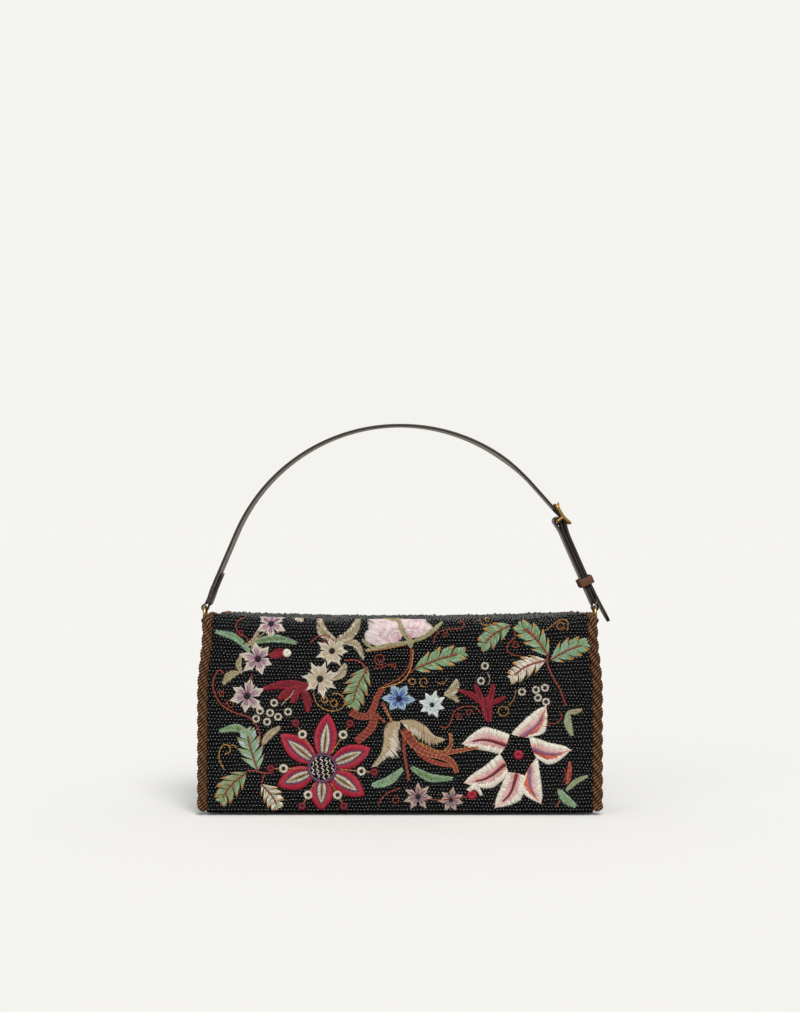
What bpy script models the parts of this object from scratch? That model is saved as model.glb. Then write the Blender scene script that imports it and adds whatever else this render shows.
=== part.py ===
"""Embroidered evening shoulder bag: a stiffened box body with a two-fold flap, rope trim, and a buckled strap.

Metres, +Z up. The origin is on the floor, under the middle of the body. The front, which the flap covers, faces -Y.
"""

import math

import bmesh
import bpy
from mathutils import Matrix, Vector

# Running clearance between neighbouring pieces
CLEAR = 0.0003

# Body: shell, gussets and what lies inside
BODY_LENGTH = 0.2598
BODY_DEPTH = 0.044
BASE_RADIUS = 0.0055
SHELL_WALL = 0.0016
LINING_WALL = 0.0008
BOARD_THICKNESS = 0.0008
BOARD_MARGIN = 0.006
LINING_DROP = 0.0015
GUSSET_DIP = 0.004
POCKET_LENGTH = 0.120
POCKET_HEIGHT = 0.078
POCKET_FLOOR = 0.014
POCKET_ROOM = 0.0046

# Flap: a top panel folded at the back edge, and a front panel folded at the front edge
FLAP_TOP_Z = 0.133
FLAP_HEM_Z = 0.0028
FLAP_SHELL = 0.0024
FLAP_FRONT_RADIUS = 0.009
FLAP_BACK_RADIUS = 0.009
FLAP_GAP_OVER_MOUTH = 0.0034
FOLD_GAP = 0.0003
FOLD_LEAD = 0.0008
TOP_STATIONS = 12
WAIST_SET_IN = 0.0121
WAIST_FRONT_Y = -0.014
WAIST_BACK_Y = 0.009
BACK_FLARE = 0.0065

# Rope trim along the side edges of the flap
ROPE_RADIUS = 0.0042
ROPE_OUT_LOW = 0.0011
ROPE_IN_HIGH = 0.0017
ROPE_SINK = 0.0002
BEND_ALLOWANCE = 0.0008

# Magnetic snap
SNAP_RADIUS = 0.009
SNAP_Z = 0.042
SOCKET_THICKNESS = 0.0024
SOCKET_BORE = 0.0036
STUD_BASE = 0.0010
STUD_NUB_RADIUS = 0.0030
STUD_NUB_HEIGHT = 0.0014
WASHER_RADIUS = 0.0075
WASHER_THICKNESS = 0.0006
WASHER_BORE = 0.0020

# Rings and their tabs
RING_OUT = 0.0031
RING_Z = 0.1323
RING_RADIUS = 0.0050
RING_WIRE = 0.0011
TONGUE_HALF_WIDTH = 0.0026
TONGUE_THICKNESS = 0.0010
TONGUE_BORE = 0.0017
EYE_DROP = 0.0004
TAB_HALF_WIDTH = 0.006
TAB_FOOT_Z = 0.106
TAB_TAPER_Z = 0.118
TAB_NECK_Z = 0.1232

# Strap
STRAP_HALF_WIDTH = 0.007
STRAP_THICKNESS = 0.0020
FOLD_STRAP_THICKNESS = 0.0016
LAYER_GAP = 0.0003
ARCH_SET_IN = 0.012
CROWN_Z = 0.261
ARCH_END_DEG = 42.0
ARCH_TWIST_DEG = 4.0
FOLD_BACK_LENGTH = 0.026
SHOULDER_START = 0.0018
SHOULDER_END = 0.0036
BAND_STEP = 0.0045
TIP_TAPER = 0.006
TIP_HALF_WIDTH = 0.003

# Buckle, placed by its centre bar; along and out are measured on the short strap from that bar
BAR_SET_IN = 0.0260
BAR_RISE = 0.0589
BAR_RADIUS = 0.0011
BAR_CLEAR = 0.00025
TOP_BAR_ALONG = 0.0103
TOP_BAR_OUT = 0.0036
LOW_BAR_ALONG = -0.0044
LOW_BAR_OUT = 0.0072
RAIL_ALONG = 0.0013
RAIL_OUT = 0.0046
RAIL_CLEAR = 0.0006
PINCH_LENGTH = 0.0075
PRONG_RADIUS = 0.0008
PRONG_CLEAR = 0.00025
PRONG_OVERHANG = 0.0012
PRONG_SLOT_LENGTH = 0.0092
PRONG_SLOT_ALONG = 0.0032
EYELET_RADIUS = 0.0013
EYELET_PITCH = 0.015
EYELETS_EACH_WAY = 2

# Keeper and the free end of the strap
KEEPER_ALONG = -0.0453
KEEPER_LENGTH = 0.0054
KEEPER_WALL = 0.0013
KEEPER_SLACK = 0.0012
TIP_ALONG = -0.0766
TIP_OUT = 0.0048

ROUND_STEPS = 20
SMALL_ROUND_STEPS = 16
CUT_OVERRUN = 0.003

PARTS = "embroidered_shoulder_bag"
CUTTERS = "cutters"

HALF_BODY = BODY_LENGTH / 2
FRONT_Y = -BODY_DEPTH / 2
BACK_Y = BODY_DEPTH / 2
LINING_GAP = BOARD_THICKNESS + 2 * CLEAR
MOUTH_Z = FLAP_TOP_Z - FLAP_SHELL - CLEAR - LINING_WALL - FLAP_GAP_OVER_MOUTH
STUD_FACE_Y = FRONT_Y - CLEAR - SOCKET_THICKNESS - CLEAR
FLAP_LINING_Y = STUD_FACE_Y - STUD_BASE - CLEAR
FLAP_BOARD_Y = FLAP_LINING_Y - LINING_WALL - CLEAR
FLAP_SHELL_Y = FLAP_BOARD_Y - BOARD_THICKNESS - CLEAR
FLAP_FACE_Y = FLAP_SHELL_Y - FLAP_SHELL
FOLD_Z = FLAP_TOP_Z - FLAP_FRONT_RADIUS
HINGE_Z = FLAP_TOP_Z - FLAP_BACK_RADIUS
ROPE_X_LOW = HALF_BODY + ROPE_OUT_LOW
ROPE_X_HIGH = HALF_BODY - ROPE_IN_HIGH
WAIST_HALF_WIDTH = HALF_BODY - WAIST_SET_IN
ROPE_Y = (FLAP_FACE_Y + FLAP_LINING_Y) / 2
ROPE_SEAT = ROPE_RADIUS + CLEAR - ROPE_SINK
EYE_RADIUS = TONGUE_BORE + TONGUE_THICKNESS / 2
RING_X = HALF_BODY + RING_OUT
UPPER_EYE_Z = RING_Z + RING_RADIUS - EYE_DROP
LOWER_EYE_Z = RING_Z - RING_RADIUS + EYE_DROP
BAR_X = RING_X - BAR_SET_IN
BAR_Z = UPPER_EYE_Z + BAR_RISE
ARCH_RADIUS = RING_X - ARCH_SET_IN
ARCH_CENTRE_Z = CROWN_Z - ARCH_RADIUS


def clear_scene():
    for obj in list(bpy.data.objects):
        bpy.data.objects.remove(obj, do_unlink=True)
    for name in (PARTS, CUTTERS):
        bpy.context.scene.collection.children.link(bpy.data.collections.new(name))


def material(name, colour, roughness, metallic=0.0):
    made = bpy.data.materials.new(name)
    made.use_nodes = True
    shader = made.node_tree.nodes["Principled BSDF"]
    shader.inputs["Base Color"].default_value = (*colour, 1.0)
    shader.inputs["Roughness"].default_value = roughness
    shader.inputs["Metallic"].default_value = metallic
    return made


BEADED = (0.012, 0.013, 0.012)
BLACK_CLOTH = (0.020, 0.018, 0.016)
BROWN_ROPE = (0.150, 0.060, 0.022)
DARK_LEATHER = (0.045, 0.030, 0.024)
TAN_LEATHER = (0.140, 0.060, 0.028)
BRASS = (0.620, 0.400, 0.150)
STEEL = (0.450, 0.440, 0.420)
LINING_CLOTH = (0.060, 0.034, 0.022)
BOARD_GREY = (0.250, 0.240, 0.220)


def finish(obj, look, smooth_angle=None):
    """Puts a part in the object's collection with a material of its own."""
    colour, roughness, metallic = look
    obj.data.materials.clear()
    obj.data.materials.append(material(obj.name, colour, roughness, metallic))
    for collection in list(obj.users_collection):
        collection.objects.unlink(obj)
    bpy.data.collections[PARTS].objects.link(obj)
    if smooth_angle and obj.type == "MESH":
        obj.data.shade_smooth()
        obj.data.set_sharp_from_angle(angle=math.radians(smooth_angle))
    return obj


def object_from(name, bm):
    mesh = bpy.data.meshes.new(name)
    bm.normal_update()
    bmesh.ops.recalc_face_normals(bm, faces=bm.faces)
    bm.to_mesh(mesh)
    bm.free()
    obj = bpy.data.objects.new(name, mesh)
    bpy.context.scene.collection.objects.link(obj)
    return obj


def mesh_from_curve(obj):
    """The evaluated curve as a mesh object of the same name, its caps welded."""
    bpy.context.view_layer.update()
    graph = bpy.context.evaluated_depsgraph_get()
    mesh = bpy.data.meshes.new_from_object(obj.evaluated_get(graph))
    bm = bmesh.new()
    bm.from_mesh(mesh)
    bm.transform(obj.matrix_world)
    bmesh.ops.remove_doubles(bm, verts=bm.verts, dist=CLEAR / 100)
    name = obj.name
    bpy.data.objects.remove(obj, do_unlink=True)
    bpy.data.meshes.remove(mesh)
    return object_from(name, bm)


def join_with(obj, other):
    """Boolean union of another mesh, which is then hidden as a helper."""
    return boolean(obj, other, "UNION")


def cut_with(obj, other):
    return boolean(obj, other, "DIFFERENCE")


def boolean(obj, other, operation):
    modifier = obj.modifiers.new(other.name, "BOOLEAN")
    modifier.operation = operation
    modifier.object = other
    other.hide_render = True
    other.display_type = "WIRE"
    for collection in list(other.users_collection):
        collection.objects.unlink(other)
    bpy.data.collections[CUTTERS].objects.link(other)
    return obj


def arc(centre, radius, start_deg, end_deg, steps):
    """Points (a, b) along a circle, from one angle to the other, measured from the first axis."""
    turn = math.radians(end_deg - start_deg) / steps
    start = math.radians(start_deg)
    return [
        (centre[0] + radius * math.cos(start + turn * i), centre[1] + radius * math.sin(start + turn * i))
        for i in range(steps + 1)
    ]


def eased(share):
    share = min(1.0, max(0.0, share))
    return share * share * (3 - 2 * share)


def spline_through(points, step):
    """Points about one step apart on a smooth curve through the given points."""
    ends = [2 * points[0] - points[1], *points, 2 * points[-1] - points[-2]]
    found = []
    for a, b, c, d in zip(ends, ends[1:], ends[2:], ends[3:]):
        pieces = max(1, round((c - b).length / step))
        for i in range(pieces):
            t = i / pieces
            found.append(
                (2 * b + (c - a) * t + (2 * a - 5 * b + 4 * c - d) * t**2 + (3 * b - a - 3 * c + d) * t**3) / 2
            )
    return [*found, points[-1]]


def rod(name, points, radius, cyclic=False, radii=None, resolution=2):
    """A round bar along the points, with filled caps."""
    curve = bpy.data.curves.new(name, "CURVE")
    curve.dimensions = "3D"
    curve.bevel_depth = radius
    curve.bevel_resolution = resolution
    curve.use_fill_caps = True
    line = curve.splines.new("POLY")
    line.points.add(len(points) - 1)
    for i, (point, place) in enumerate(zip(line.points, points)):
        point.co = (*place, 1)
        point.radius = radii[i] if radii else 1.0
    line.use_cyclic_u = cyclic
    obj = bpy.data.objects.new(name, curve)
    bpy.context.scene.collection.objects.link(obj)
    return obj


def plate(name, outlines, thickness, place):
    """A flat outline, with its holes, extruded to a thickness about its own plane."""
    curve = bpy.data.curves.new(name, "CURVE")
    curve.dimensions = "2D"
    curve.fill_mode = "BOTH"
    curve.extrude = thickness / 2
    for outline in outlines:
        line = curve.splines.new("POLY")
        line.points.add(len(outline) - 1)
        for point, (a, b) in zip(line.points, outline):
            point.co = (a, b, 0, 1)
        line.use_cyclic_u = True
    obj = bpy.data.objects.new(name, curve)
    bpy.context.scene.collection.objects.link(obj)
    obj.matrix_world = place
    return obj


def standing(axis, at):
    """Turns a plate drawn in its own XY plane to stand across X or across Y, at that place."""
    turn = Matrix.Rotation(math.radians(90), 4, "X")
    if axis == "X":
        turn = Matrix.Rotation(math.radians(90), 4, "Z") @ turn
    return Matrix.Translation(at) @ turn


def bent_panel(name, profile, half_widths, wall):
    """A sheet that follows a profile in YZ, as wide as each station says, thickened inwards."""
    bm = bmesh.new()
    bmesh.ops.create_grid(bm, x_segments=2, y_segments=len(profile) - 1, size=1)
    for vert in bm.verts:
        station = round((vert.co.y + 1) / 2 * (len(profile) - 1))
        y, z = profile[station]
        vert.co = (vert.co.x * half_widths[station], y, z)
    obj = object_from(name, bm)
    thicken = obj.modifiers.new("wall", "SOLIDIFY")
    thicken.thickness = wall
    thicken.offset = 0
    thicken.use_even_offset = True
    return obj


def offset_profile(profile, distance):
    """The profile moved to its left by a distance."""
    moved = []
    for i, (y, z) in enumerate(profile):
        before = profile[max(i - 1, 0)]
        after = profile[min(i + 1, len(profile) - 1)]
        along = Vector((after[0] - before[0], after[1] - before[1])).normalized()
        moved.append((y - along.y * distance, z + along.x * distance))
    return moved


def turned(name, profile, axis_point, steps=ROUND_STEPS):
    """A profile of (radius, depth) pairs turned about a line along Y; depth runs towards -Y."""
    bm = bmesh.new()
    verts = [bm.verts.new((radius, 0, depth)) for radius, depth in profile]
    for first, second in zip(verts, verts[1:] + verts[:1]):
        bm.edges.new((first, second))
    mesh = bpy.data.meshes.new(name)
    bm.to_mesh(mesh)
    bm.free()
    obj = bpy.data.objects.new(name, mesh)
    bpy.context.scene.collection.objects.link(obj)
    obj.rotation_euler = (math.radians(90), 0, 0)
    obj.location = axis_point
    screw = obj.modifiers.new("turn", "SCREW")
    screw.steps = steps
    screw.render_steps = steps
    screw.use_merge_vertices = True
    screw.merge_threshold = CLEAR / 100
    return obj


def swept_band(name, stations):
    """A flat band along stations of (point in XZ, half width, thickness, twist in degrees)."""
    bm = bmesh.new()
    sections = []
    for i, (point, half_width, thickness, twist) in enumerate(stations):
        before = stations[max(i - 1, 0)][0]
        after = stations[min(i + 1, len(stations) - 1)][0]
        along = (after - before).normalized()
        normal = Vector((-along.z, 0, along.x))
        turn = Matrix.Rotation(math.radians(twist), 3, along)
        across = turn @ Vector((0, 1, 0)) * half_width
        through = turn @ normal * (thickness / 2)
        corners = ((-1, -1), (1, -1), (1, 1), (-1, 1))
        sections.append([point + across * a + through * b for a, b in corners])
    face = bm.faces.new([bm.verts.new(corner) for corner in sections[0]])
    for i, (before, section) in enumerate(zip(sections, sections[1:])):
        extruded = bmesh.ops.extrude_face_region(bm, geom=[face])["geom"]
        if i and face.is_valid:
            bmesh.ops.delete(bm, geom=[face], context="FACES_ONLY")
        face = next(item for item in extruded if isinstance(item, bmesh.types.BMFace))
        for vert in face.verts:
            nearest = min(range(4), key=lambda i: (before[i] - vert.co).length)
            vert.co = section[nearest]
    return object_from(name, bm)


def flap_profile():
    """The flap's outer line in YZ, from the back fold over the top to the front fold."""
    back_bend = FLAP_BACK_RADIUS - FOLD_LEAD
    front_bend = FLAP_FRONT_RADIUS - FOLD_LEAD
    back = (BACK_Y - back_bend, FLAP_TOP_Z - back_bend)
    front = (FLAP_FACE_Y + front_bend, FLAP_TOP_Z - front_bend)
    over_back = arc(back, back_bend, 0, 90, 6)
    over_front = arc(front, front_bend, 90, 180, 6)
    shares = [i / TOP_STATIONS for i in range(1, TOP_STATIONS)]
    top = [(back[0] + (front[0] - back[0]) * share, FLAP_TOP_Z) for share in shares]
    return [(BACK_Y, HINGE_Z), *over_back, *top, *over_front, (FLAP_FACE_Y, FOLD_Z)]


def rope_x(y, z):
    """Where the rope's centre line runs: inwards up the front panel, and in to the waist on the top."""
    climb = ROPE_X_LOW + (ROPE_X_HIGH - ROPE_X_LOW) * eased((z - FLAP_HEM_Z) / (FOLD_Z - FLAP_HEM_Z))
    inwards = eased((y - FLAP_FACE_Y) / (WAIST_FRONT_Y - FLAP_FACE_Y))
    flare = BACK_FLARE * eased((y - WAIST_BACK_Y) / (BACK_Y - WAIST_BACK_Y))
    return climb + (WAIST_HALF_WIDTH - climb) * inwards + flare


def top_half_widths():
    """Half the top panel's width at each station: a rope's seat short of the rope, square to its slant."""
    line = flap_profile()
    found = []
    for i, (y, z) in enumerate(line):
        before = line[max(i - 1, 0)]
        after = line[min(i + 1, len(line) - 1)]
        slant = (rope_x(*after) - rope_x(*before)) / math.dist(before, after)
        found.append(rope_x(y, z) - (ROPE_SEAT + BEND_ALLOWANCE) * math.hypot(1, slant))
    return found


def body_profile(front_top, back_top):
    """The shell's outer line in YZ, down the front, across the base and up the back."""
    front_corner = arc((FRONT_Y + BASE_RADIUS, BASE_RADIUS), BASE_RADIUS, 180, 270, 5)
    back_corner = arc((BACK_Y - BASE_RADIUS, BASE_RADIUS), BASE_RADIUS, 270, 360, 5)
    return [(FRONT_Y, front_top), *front_corner, *back_corner, (BACK_Y, back_top)]


def make_shell():
    half = HALF_BODY - SHELL_WALL - CLEAR
    profile = offset_profile(body_profile(MOUTH_Z, HINGE_Z - FOLD_GAP), SHELL_WALL / 2)
    obj = bent_panel("bag_shell", profile, [half] * len(profile), SHELL_WALL)
    return finish(obj, (BLACK_CLOTH, 0.7, 0.0), 40)


def make_gusset(name, side):
    low = body_profile(HINGE_Z - FOLD_GAP, HINGE_Z - FOLD_GAP)
    dip = [(BACK_Y / 2, HINGE_Z - GUSSET_DIP), (FRONT_Y / 2, HINGE_Z - GUSSET_DIP)]
    centre_x = side * (HALF_BODY - SHELL_WALL / 2)
    obj = plate(name, [[*low, *dip]], SHELL_WALL, standing("X", (centre_x, 0, 0)))
    return finish(obj, (DARK_LEATHER, 0.55, 0.0))


def open_box(name, low, high, missing, wall):
    """A box with the named faces left out, its walls thickened inwards."""
    bm = bmesh.new()
    size = Vector(high) - Vector(low)
    place = Matrix.Translation((Vector(high) + Vector(low)) / 2) @ Matrix.Diagonal((*size, 1))
    bmesh.ops.create_cube(bm, size=1, matrix=place)
    bm.normal_update()
    gone = [f for f in bm.faces if any((f.normal - Vector(n)).length < 0.1 for n in missing)]
    bmesh.ops.delete(bm, geom=gone, context="FACES")
    mesh = bpy.data.meshes.new(name)
    bm.to_mesh(mesh)
    bm.free()
    obj = bpy.data.objects.new(name, mesh)
    bpy.context.scene.collection.objects.link(obj)
    thicken = obj.modifiers.new("wall", "SOLIDIFY")
    thicken.thickness = wall
    thicken.offset = -1
    thicken.use_even_offset = True
    return obj


def make_lining():
    inset = SHELL_WALL + LINING_GAP
    half = HALF_BODY - SHELL_WALL - 2 * CLEAR
    low = (-half, FRONT_Y + inset, inset)
    high = (half, BACK_Y - inset, HINGE_Z - LINING_DROP)
    obj = open_box("lining", low, high, [(0, 0, 1)], LINING_WALL)
    return finish(obj, (LINING_CLOTH, 0.8, 0.0))


def make_pocket():
    wall_y = BACK_Y - SHELL_WALL - LINING_GAP - LINING_WALL - CLEAR
    low = (-POCKET_LENGTH / 2, wall_y - POCKET_ROOM - LINING_WALL, POCKET_FLOOR)
    high = (POCKET_LENGTH / 2, wall_y, POCKET_FLOOR + POCKET_HEIGHT)
    obj = open_box("slip_pocket", low, high, [(0, 0, 1), (0, 1, 0)], LINING_WALL)
    return finish(obj, (LINING_CLOTH, 0.8, 0.0))


def make_base_board():
    half = HALF_BODY - SHELL_WALL - BOARD_MARGIN
    reach = BODY_DEPTH / 2 - BASE_RADIUS
    outline = [(-half, -reach), (half, -reach), (half, reach), (-half, reach)]
    centre_z = SHELL_WALL + CLEAR + BOARD_THICKNESS / 2
    obj = plate("base_board", [outline], BOARD_THICKNESS, Matrix.Translation((0, 0, centre_z)))
    return finish(obj, (BOARD_GREY, 0.9, 0.0))


def flap_top_sheet(name, depth, wall):
    """A layer of the top panel whose outer face lies a depth below the flap's outer face."""
    profile = offset_profile(flap_profile(), depth + wall / 2)
    return bent_panel(name, profile, top_half_widths(), wall)


def flap_front_sheet(name, face_y, wall, margin=0.0, hem=0.0):
    """A layer of the front panel, with its front face at face_y, narrowing with the rope towards the fold."""
    top = FOLD_Z - FOLD_GAP - margin
    heights = [FLAP_HEM_Z + hem + margin + (top - FLAP_HEM_Z - hem - margin) * i / 6 for i in range(7)]
    right = [(rope_x(FLAP_FACE_Y, z) - ROPE_SEAT - margin, z) for z in heights]
    left = [(-x, z) for x, z in reversed(right)]
    return plate(name, [[*right, *left]], wall, standing("Y", (0, face_y + wall / 2, 0)))


def rope_ends(points):
    """The rope's points with rounded ends added, and the share of the full radius at each."""
    shares = (0.35, 0.72, 0.94)
    setbacks = [ROPE_RADIUS * (1 - math.sqrt(1 - share * share)) for share in shares]
    first, second = points[0], points[1]
    last, before_last = points[-1], points[-2]
    head = (second - first).normalized()
    tail = (before_last - last).normalized()
    start = [first + head * setback for setback in setbacks]
    end = [last + tail * setback for setback in reversed(setbacks)]
    inner = [p for p in points if min((p - first).length, (p - last).length) > ROPE_RADIUS]
    radii = [*shares, *[1.0] * len(inner), *reversed(shares)]
    return [*start, *inner, *end], radii


def make_ropes(side, word):
    """The rope on one side edge: a length on the front panel and a length on the top panel."""
    spots = 9
    low, high = FLAP_HEM_Z - CLEAR, FOLD_Z - FOLD_GAP
    heights = [low + (high - low) * i / spots for i in range(spots + 1)]
    front_line = [Vector((side * rope_x(FLAP_FACE_Y, z), ROPE_Y, z)) for z in heights]
    outer = flap_profile()
    middle = offset_profile(outer, ROPE_Y - FLAP_FACE_Y)
    top_line = [Vector((side * rope_x(*at), y, z)) for at, (y, z) in zip(outer, middle)]
    made = []
    for name, line in ((f"{word}_front_rope", front_line), (f"{word}_top_rope", top_line)):
        points, radii = rope_ends(spline_through(line, ROPE_RADIUS))
        obj = mesh_from_curve(rod(name, points, ROPE_RADIUS - ROPE_SINK, radii=radii))
        made.append(finish(obj, (BROWN_ROPE, 0.5, 0.0), 50))
    return made


def make_snap():
    """Both halves of the magnetic snap and the washers that clench them."""
    socket_y = FRONT_Y - CLEAR
    socket = [
        (SOCKET_BORE, SOCKET_THICKNESS),
        (SOCKET_BORE, SOCKET_THICKNESS - STUD_NUB_HEIGHT - CLEAR),
        (0, SOCKET_THICKNESS - STUD_NUB_HEIGHT - CLEAR),
        (0, 0),
        (SNAP_RADIUS, 0),
        (SNAP_RADIUS, SOCKET_THICKNESS * 0.7),
        (SNAP_RADIUS * 0.9, SOCKET_THICKNESS),
    ]
    stud = [
        (0, -STUD_NUB_HEIGHT),
        (0, STUD_BASE),
        (SNAP_RADIUS, STUD_BASE),
        (SNAP_RADIUS, 0),
        (STUD_NUB_RADIUS, 0),
        (STUD_NUB_RADIUS, -STUD_NUB_HEIGHT),
    ]
    washer = [
        (WASHER_BORE, 0),
        (WASHER_RADIUS, 0),
        (WASHER_RADIUS, WASHER_THICKNESS),
        (WASHER_BORE, WASHER_THICKNESS),
    ]
    shell_inside = FRONT_Y + SHELL_WALL + CLEAR + WASHER_THICKNESS
    pieces = (
        ("snap_socket", socket, socket_y, (BRASS, 0.3, 1.0)),
        ("snap_stud", stud, STUD_FACE_Y, (BRASS, 0.3, 1.0)),
        ("snap_socket_washer", washer, shell_inside, (STEEL, 0.4, 1.0)),
    )
    for name, profile, y, look in pieces:
        obj = turned(name, profile, (0, y, SNAP_Z))
        correct_normals(obj)
        finish(obj, look)


def correct_normals(obj):
    """Makes the turned object's mesh with its faces pointing out, in place of the modifier."""
    bpy.context.view_layer.update()
    graph = bpy.context.evaluated_depsgraph_get()
    mesh = bpy.data.meshes.new_from_object(obj.evaluated_get(graph))
    bm = bmesh.new()
    bm.from_mesh(mesh)
    bmesh.ops.remove_doubles(bm, verts=bm.verts, dist=CLEAR / 100)
    bm.normal_update()
    bmesh.ops.recalc_face_normals(bm, faces=bm.faces)
    bm.to_mesh(mesh)
    bm.free()
    obj.modifiers.clear()
    obj.data = mesh


def make_ring(name, side):
    bpy.ops.mesh.primitive_torus_add(
        major_radius=RING_RADIUS,
        minor_radius=RING_WIRE,
        major_segments=ROUND_STEPS + 8,
        minor_segments=8,
        location=(side * RING_X, 0, RING_Z),
        rotation=(0, math.radians(90), 0),
    )
    obj = bpy.context.object
    obj.name = name
    return finish(obj, (BRASS, 0.25, 1.0), 60)


def make_tab(name, side):
    """A folded leather tab: sewn flat on the gusset, with an eye round the bottom of the ring."""
    inner_x = HALF_BODY + CLEAR + TONGUE_THICKNESS / 2
    outer_x = inner_x + TONGUE_THICKNESS + LAYER_GAP
    eye = (RING_X, LOWER_EYE_Z)
    line = [(inner_x, TAB_FOOT_Z), (inner_x, TAB_TAPER_Z), (inner_x, TAB_NECK_Z)]
    line += arc(eye, EYE_RADIUS, 180, 0, 8)
    line += [(outer_x, TAB_NECK_Z), (outer_x, TAB_TAPER_Z), (outer_x, TAB_FOOT_Z + TONGUE_THICKNESS)]
    stations = []
    for x, z in line:
        share = eased((z - TAB_TAPER_Z) / (TAB_NECK_Z - TAB_TAPER_Z))
        half_width = TAB_HALF_WIDTH + (TONGUE_HALF_WIDTH - TAB_HALF_WIDTH) * share
        stations.append((Vector((side * x, 0, z)), half_width, TONGUE_THICKNESS, 0.0))
    return finish(swept_band(name, stations), (DARK_LEATHER, 0.5, 0.0))


def along_and_out():
    """Unit vectors of the short strap: up along it from the ring to the bar, and out from the arch."""
    along = Vector((BAR_X - RING_X, 0, BAR_Z - UPPER_EYE_Z)).normalized()
    return along, Vector((along.z, 0, -along.x))


def on_strap(along_distance, out_distance):
    """A point in XZ measured from the buckle's centre bar along the short strap and out from it."""
    along, out = along_and_out()
    return Vector((BAR_X, 0, BAR_Z)) + along * along_distance + out * out_distance


def width_near_eye(distance, full_thickness):
    """Half width and thickness of a strap end at a distance along it from the middle of its ring's eye."""
    share = eased((distance - SHOULDER_START) / (SHOULDER_END - SHOULDER_START))
    half_width = TONGUE_HALF_WIDTH + (STRAP_HALF_WIDTH - TONGUE_HALF_WIDTH) * share
    return half_width, TONGUE_THICKNESS + (full_thickness - TONGUE_THICKNESS) * share


def eye_loop(centre, along, radius, from_deg, to_deg, steps):
    """Points round an eye, at angles measured from the strap's own direction."""
    out = Vector((along.z, 0, -along.x))
    turn = math.radians(to_deg - from_deg) / steps
    start = math.radians(from_deg)
    return [
        centre + along * (radius * math.cos(start + turn * i)) + out * (radius * math.sin(start + turn * i))
        for i in range(steps + 1)
    ]


def make_main_strap():
    """The long strap: folded round the left ring, over the arch, through the buckle, to its free tip."""
    ring_eye = Vector((-RING_X, 0, UPPER_EYE_Z))
    reach = ring_eye - Vector((0, 0, ARCH_CENTRE_Z))
    tangent_turn = math.acos(ARCH_RADIUS / reach.length)
    leave_angle = math.pi - math.atan2(reach.z, -reach.x) - tangent_turn
    touch = Vector((ARCH_RADIUS * math.cos(leave_angle), 0, ARCH_CENTRE_Z + ARCH_RADIUS * math.sin(leave_angle)))
    along = (touch - ring_eye).normalized()
    out = Vector((-along.z, 0, along.x))
    layer = (STRAP_THICKNESS + LAYER_GAP) / 2
    start = ring_eye + along * FOLD_BACK_LENGTH - out * 2 * layer
    line = [start + along * (-BAND_STEP * i) for i in range(4)]
    line += [ring_eye + along * SHOULDER_END - out * 2 * layer]
    line += eye_loop(ring_eye, along, EYE_RADIUS, 48, 312, 10)
    line += [ring_eye + along * SHOULDER_END]
    straight = (touch - ring_eye).length
    pieces = round((straight - SHOULDER_END) / BAND_STEP / 2)
    line += [
        ring_eye + along * (SHOULDER_END + (straight - SHOULDER_END) * i / pieces) for i in range(1, pieces)
    ]
    end_angle = math.radians(ARCH_END_DEG)
    steps = 30
    line += [
        Vector((ARCH_RADIUS * math.cos(a), 0, ARCH_CENTRE_Z + ARCH_RADIUS * math.sin(a)))
        for a in [leave_angle + (end_angle - leave_angle) * i / steps for i in range(steps + 1)]
    ]
    line += through_buckle(line[-1])
    stations = []
    for i, point in enumerate(line):
        half_width, thickness = width_near_eye((point - ring_eye).dot(along), STRAP_THICKNESS)
        lean = math.atan2(point.z - ARCH_CENTRE_Z, point.x)
        side = math.cos(lean) if point.z > UPPER_EYE_Z + SHOULDER_END * 2 else 0.0
        fade = eased((BAR_X - BAND_STEP * 5 - point.x) / (BAND_STEP * 4))
        twist = ARCH_TWIST_DEG * side * fade * -1
        stations.append((point, half_width, thickness, twist))
    tip = line[-1]
    for i in range(len(stations)):
        point, half_width, thickness, twist = stations[i]
        if (point - tip).length < TIP_TAPER and i > len(stations) // 2:
            share = eased((point - tip).length / TIP_TAPER)
            half_width = TIP_HALF_WIDTH + (STRAP_HALF_WIDTH - TIP_HALF_WIDTH) * share
            stations[i] = (point, half_width, thickness, twist)
    obj = swept_band("main_strap", stations)
    for number, (place, direction, length) in enumerate(strap_holes()):
        cut_with(obj, hole_cutter(f"strap_hole_cutter_{number}", place, direction, length))
    return finish(obj, (DARK_LEATHER, 0.45, 0.0))


def outer_layer_out():
    """How far out from the short strap's middle the long strap lies on it."""
    return LAYER_GAP / 2 + FOLD_STRAP_THICKNESS + CLEAR + STRAP_THICKNESS / 2


def over_bar_out():
    return BAR_RADIUS + BAR_CLEAR + FOLD_STRAP_THICKNESS + CLEAR + STRAP_THICKNESS / 2


def under_top_bar():
    """Where the long strap passes inside the buckle's top bar."""
    inside = TOP_BAR_OUT - BAR_RADIUS - CLEAR - STRAP_THICKNESS / 2
    return (TOP_BAR_ALONG - BAR_RADIUS / 2, inside - CLEAR / 2)


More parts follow.
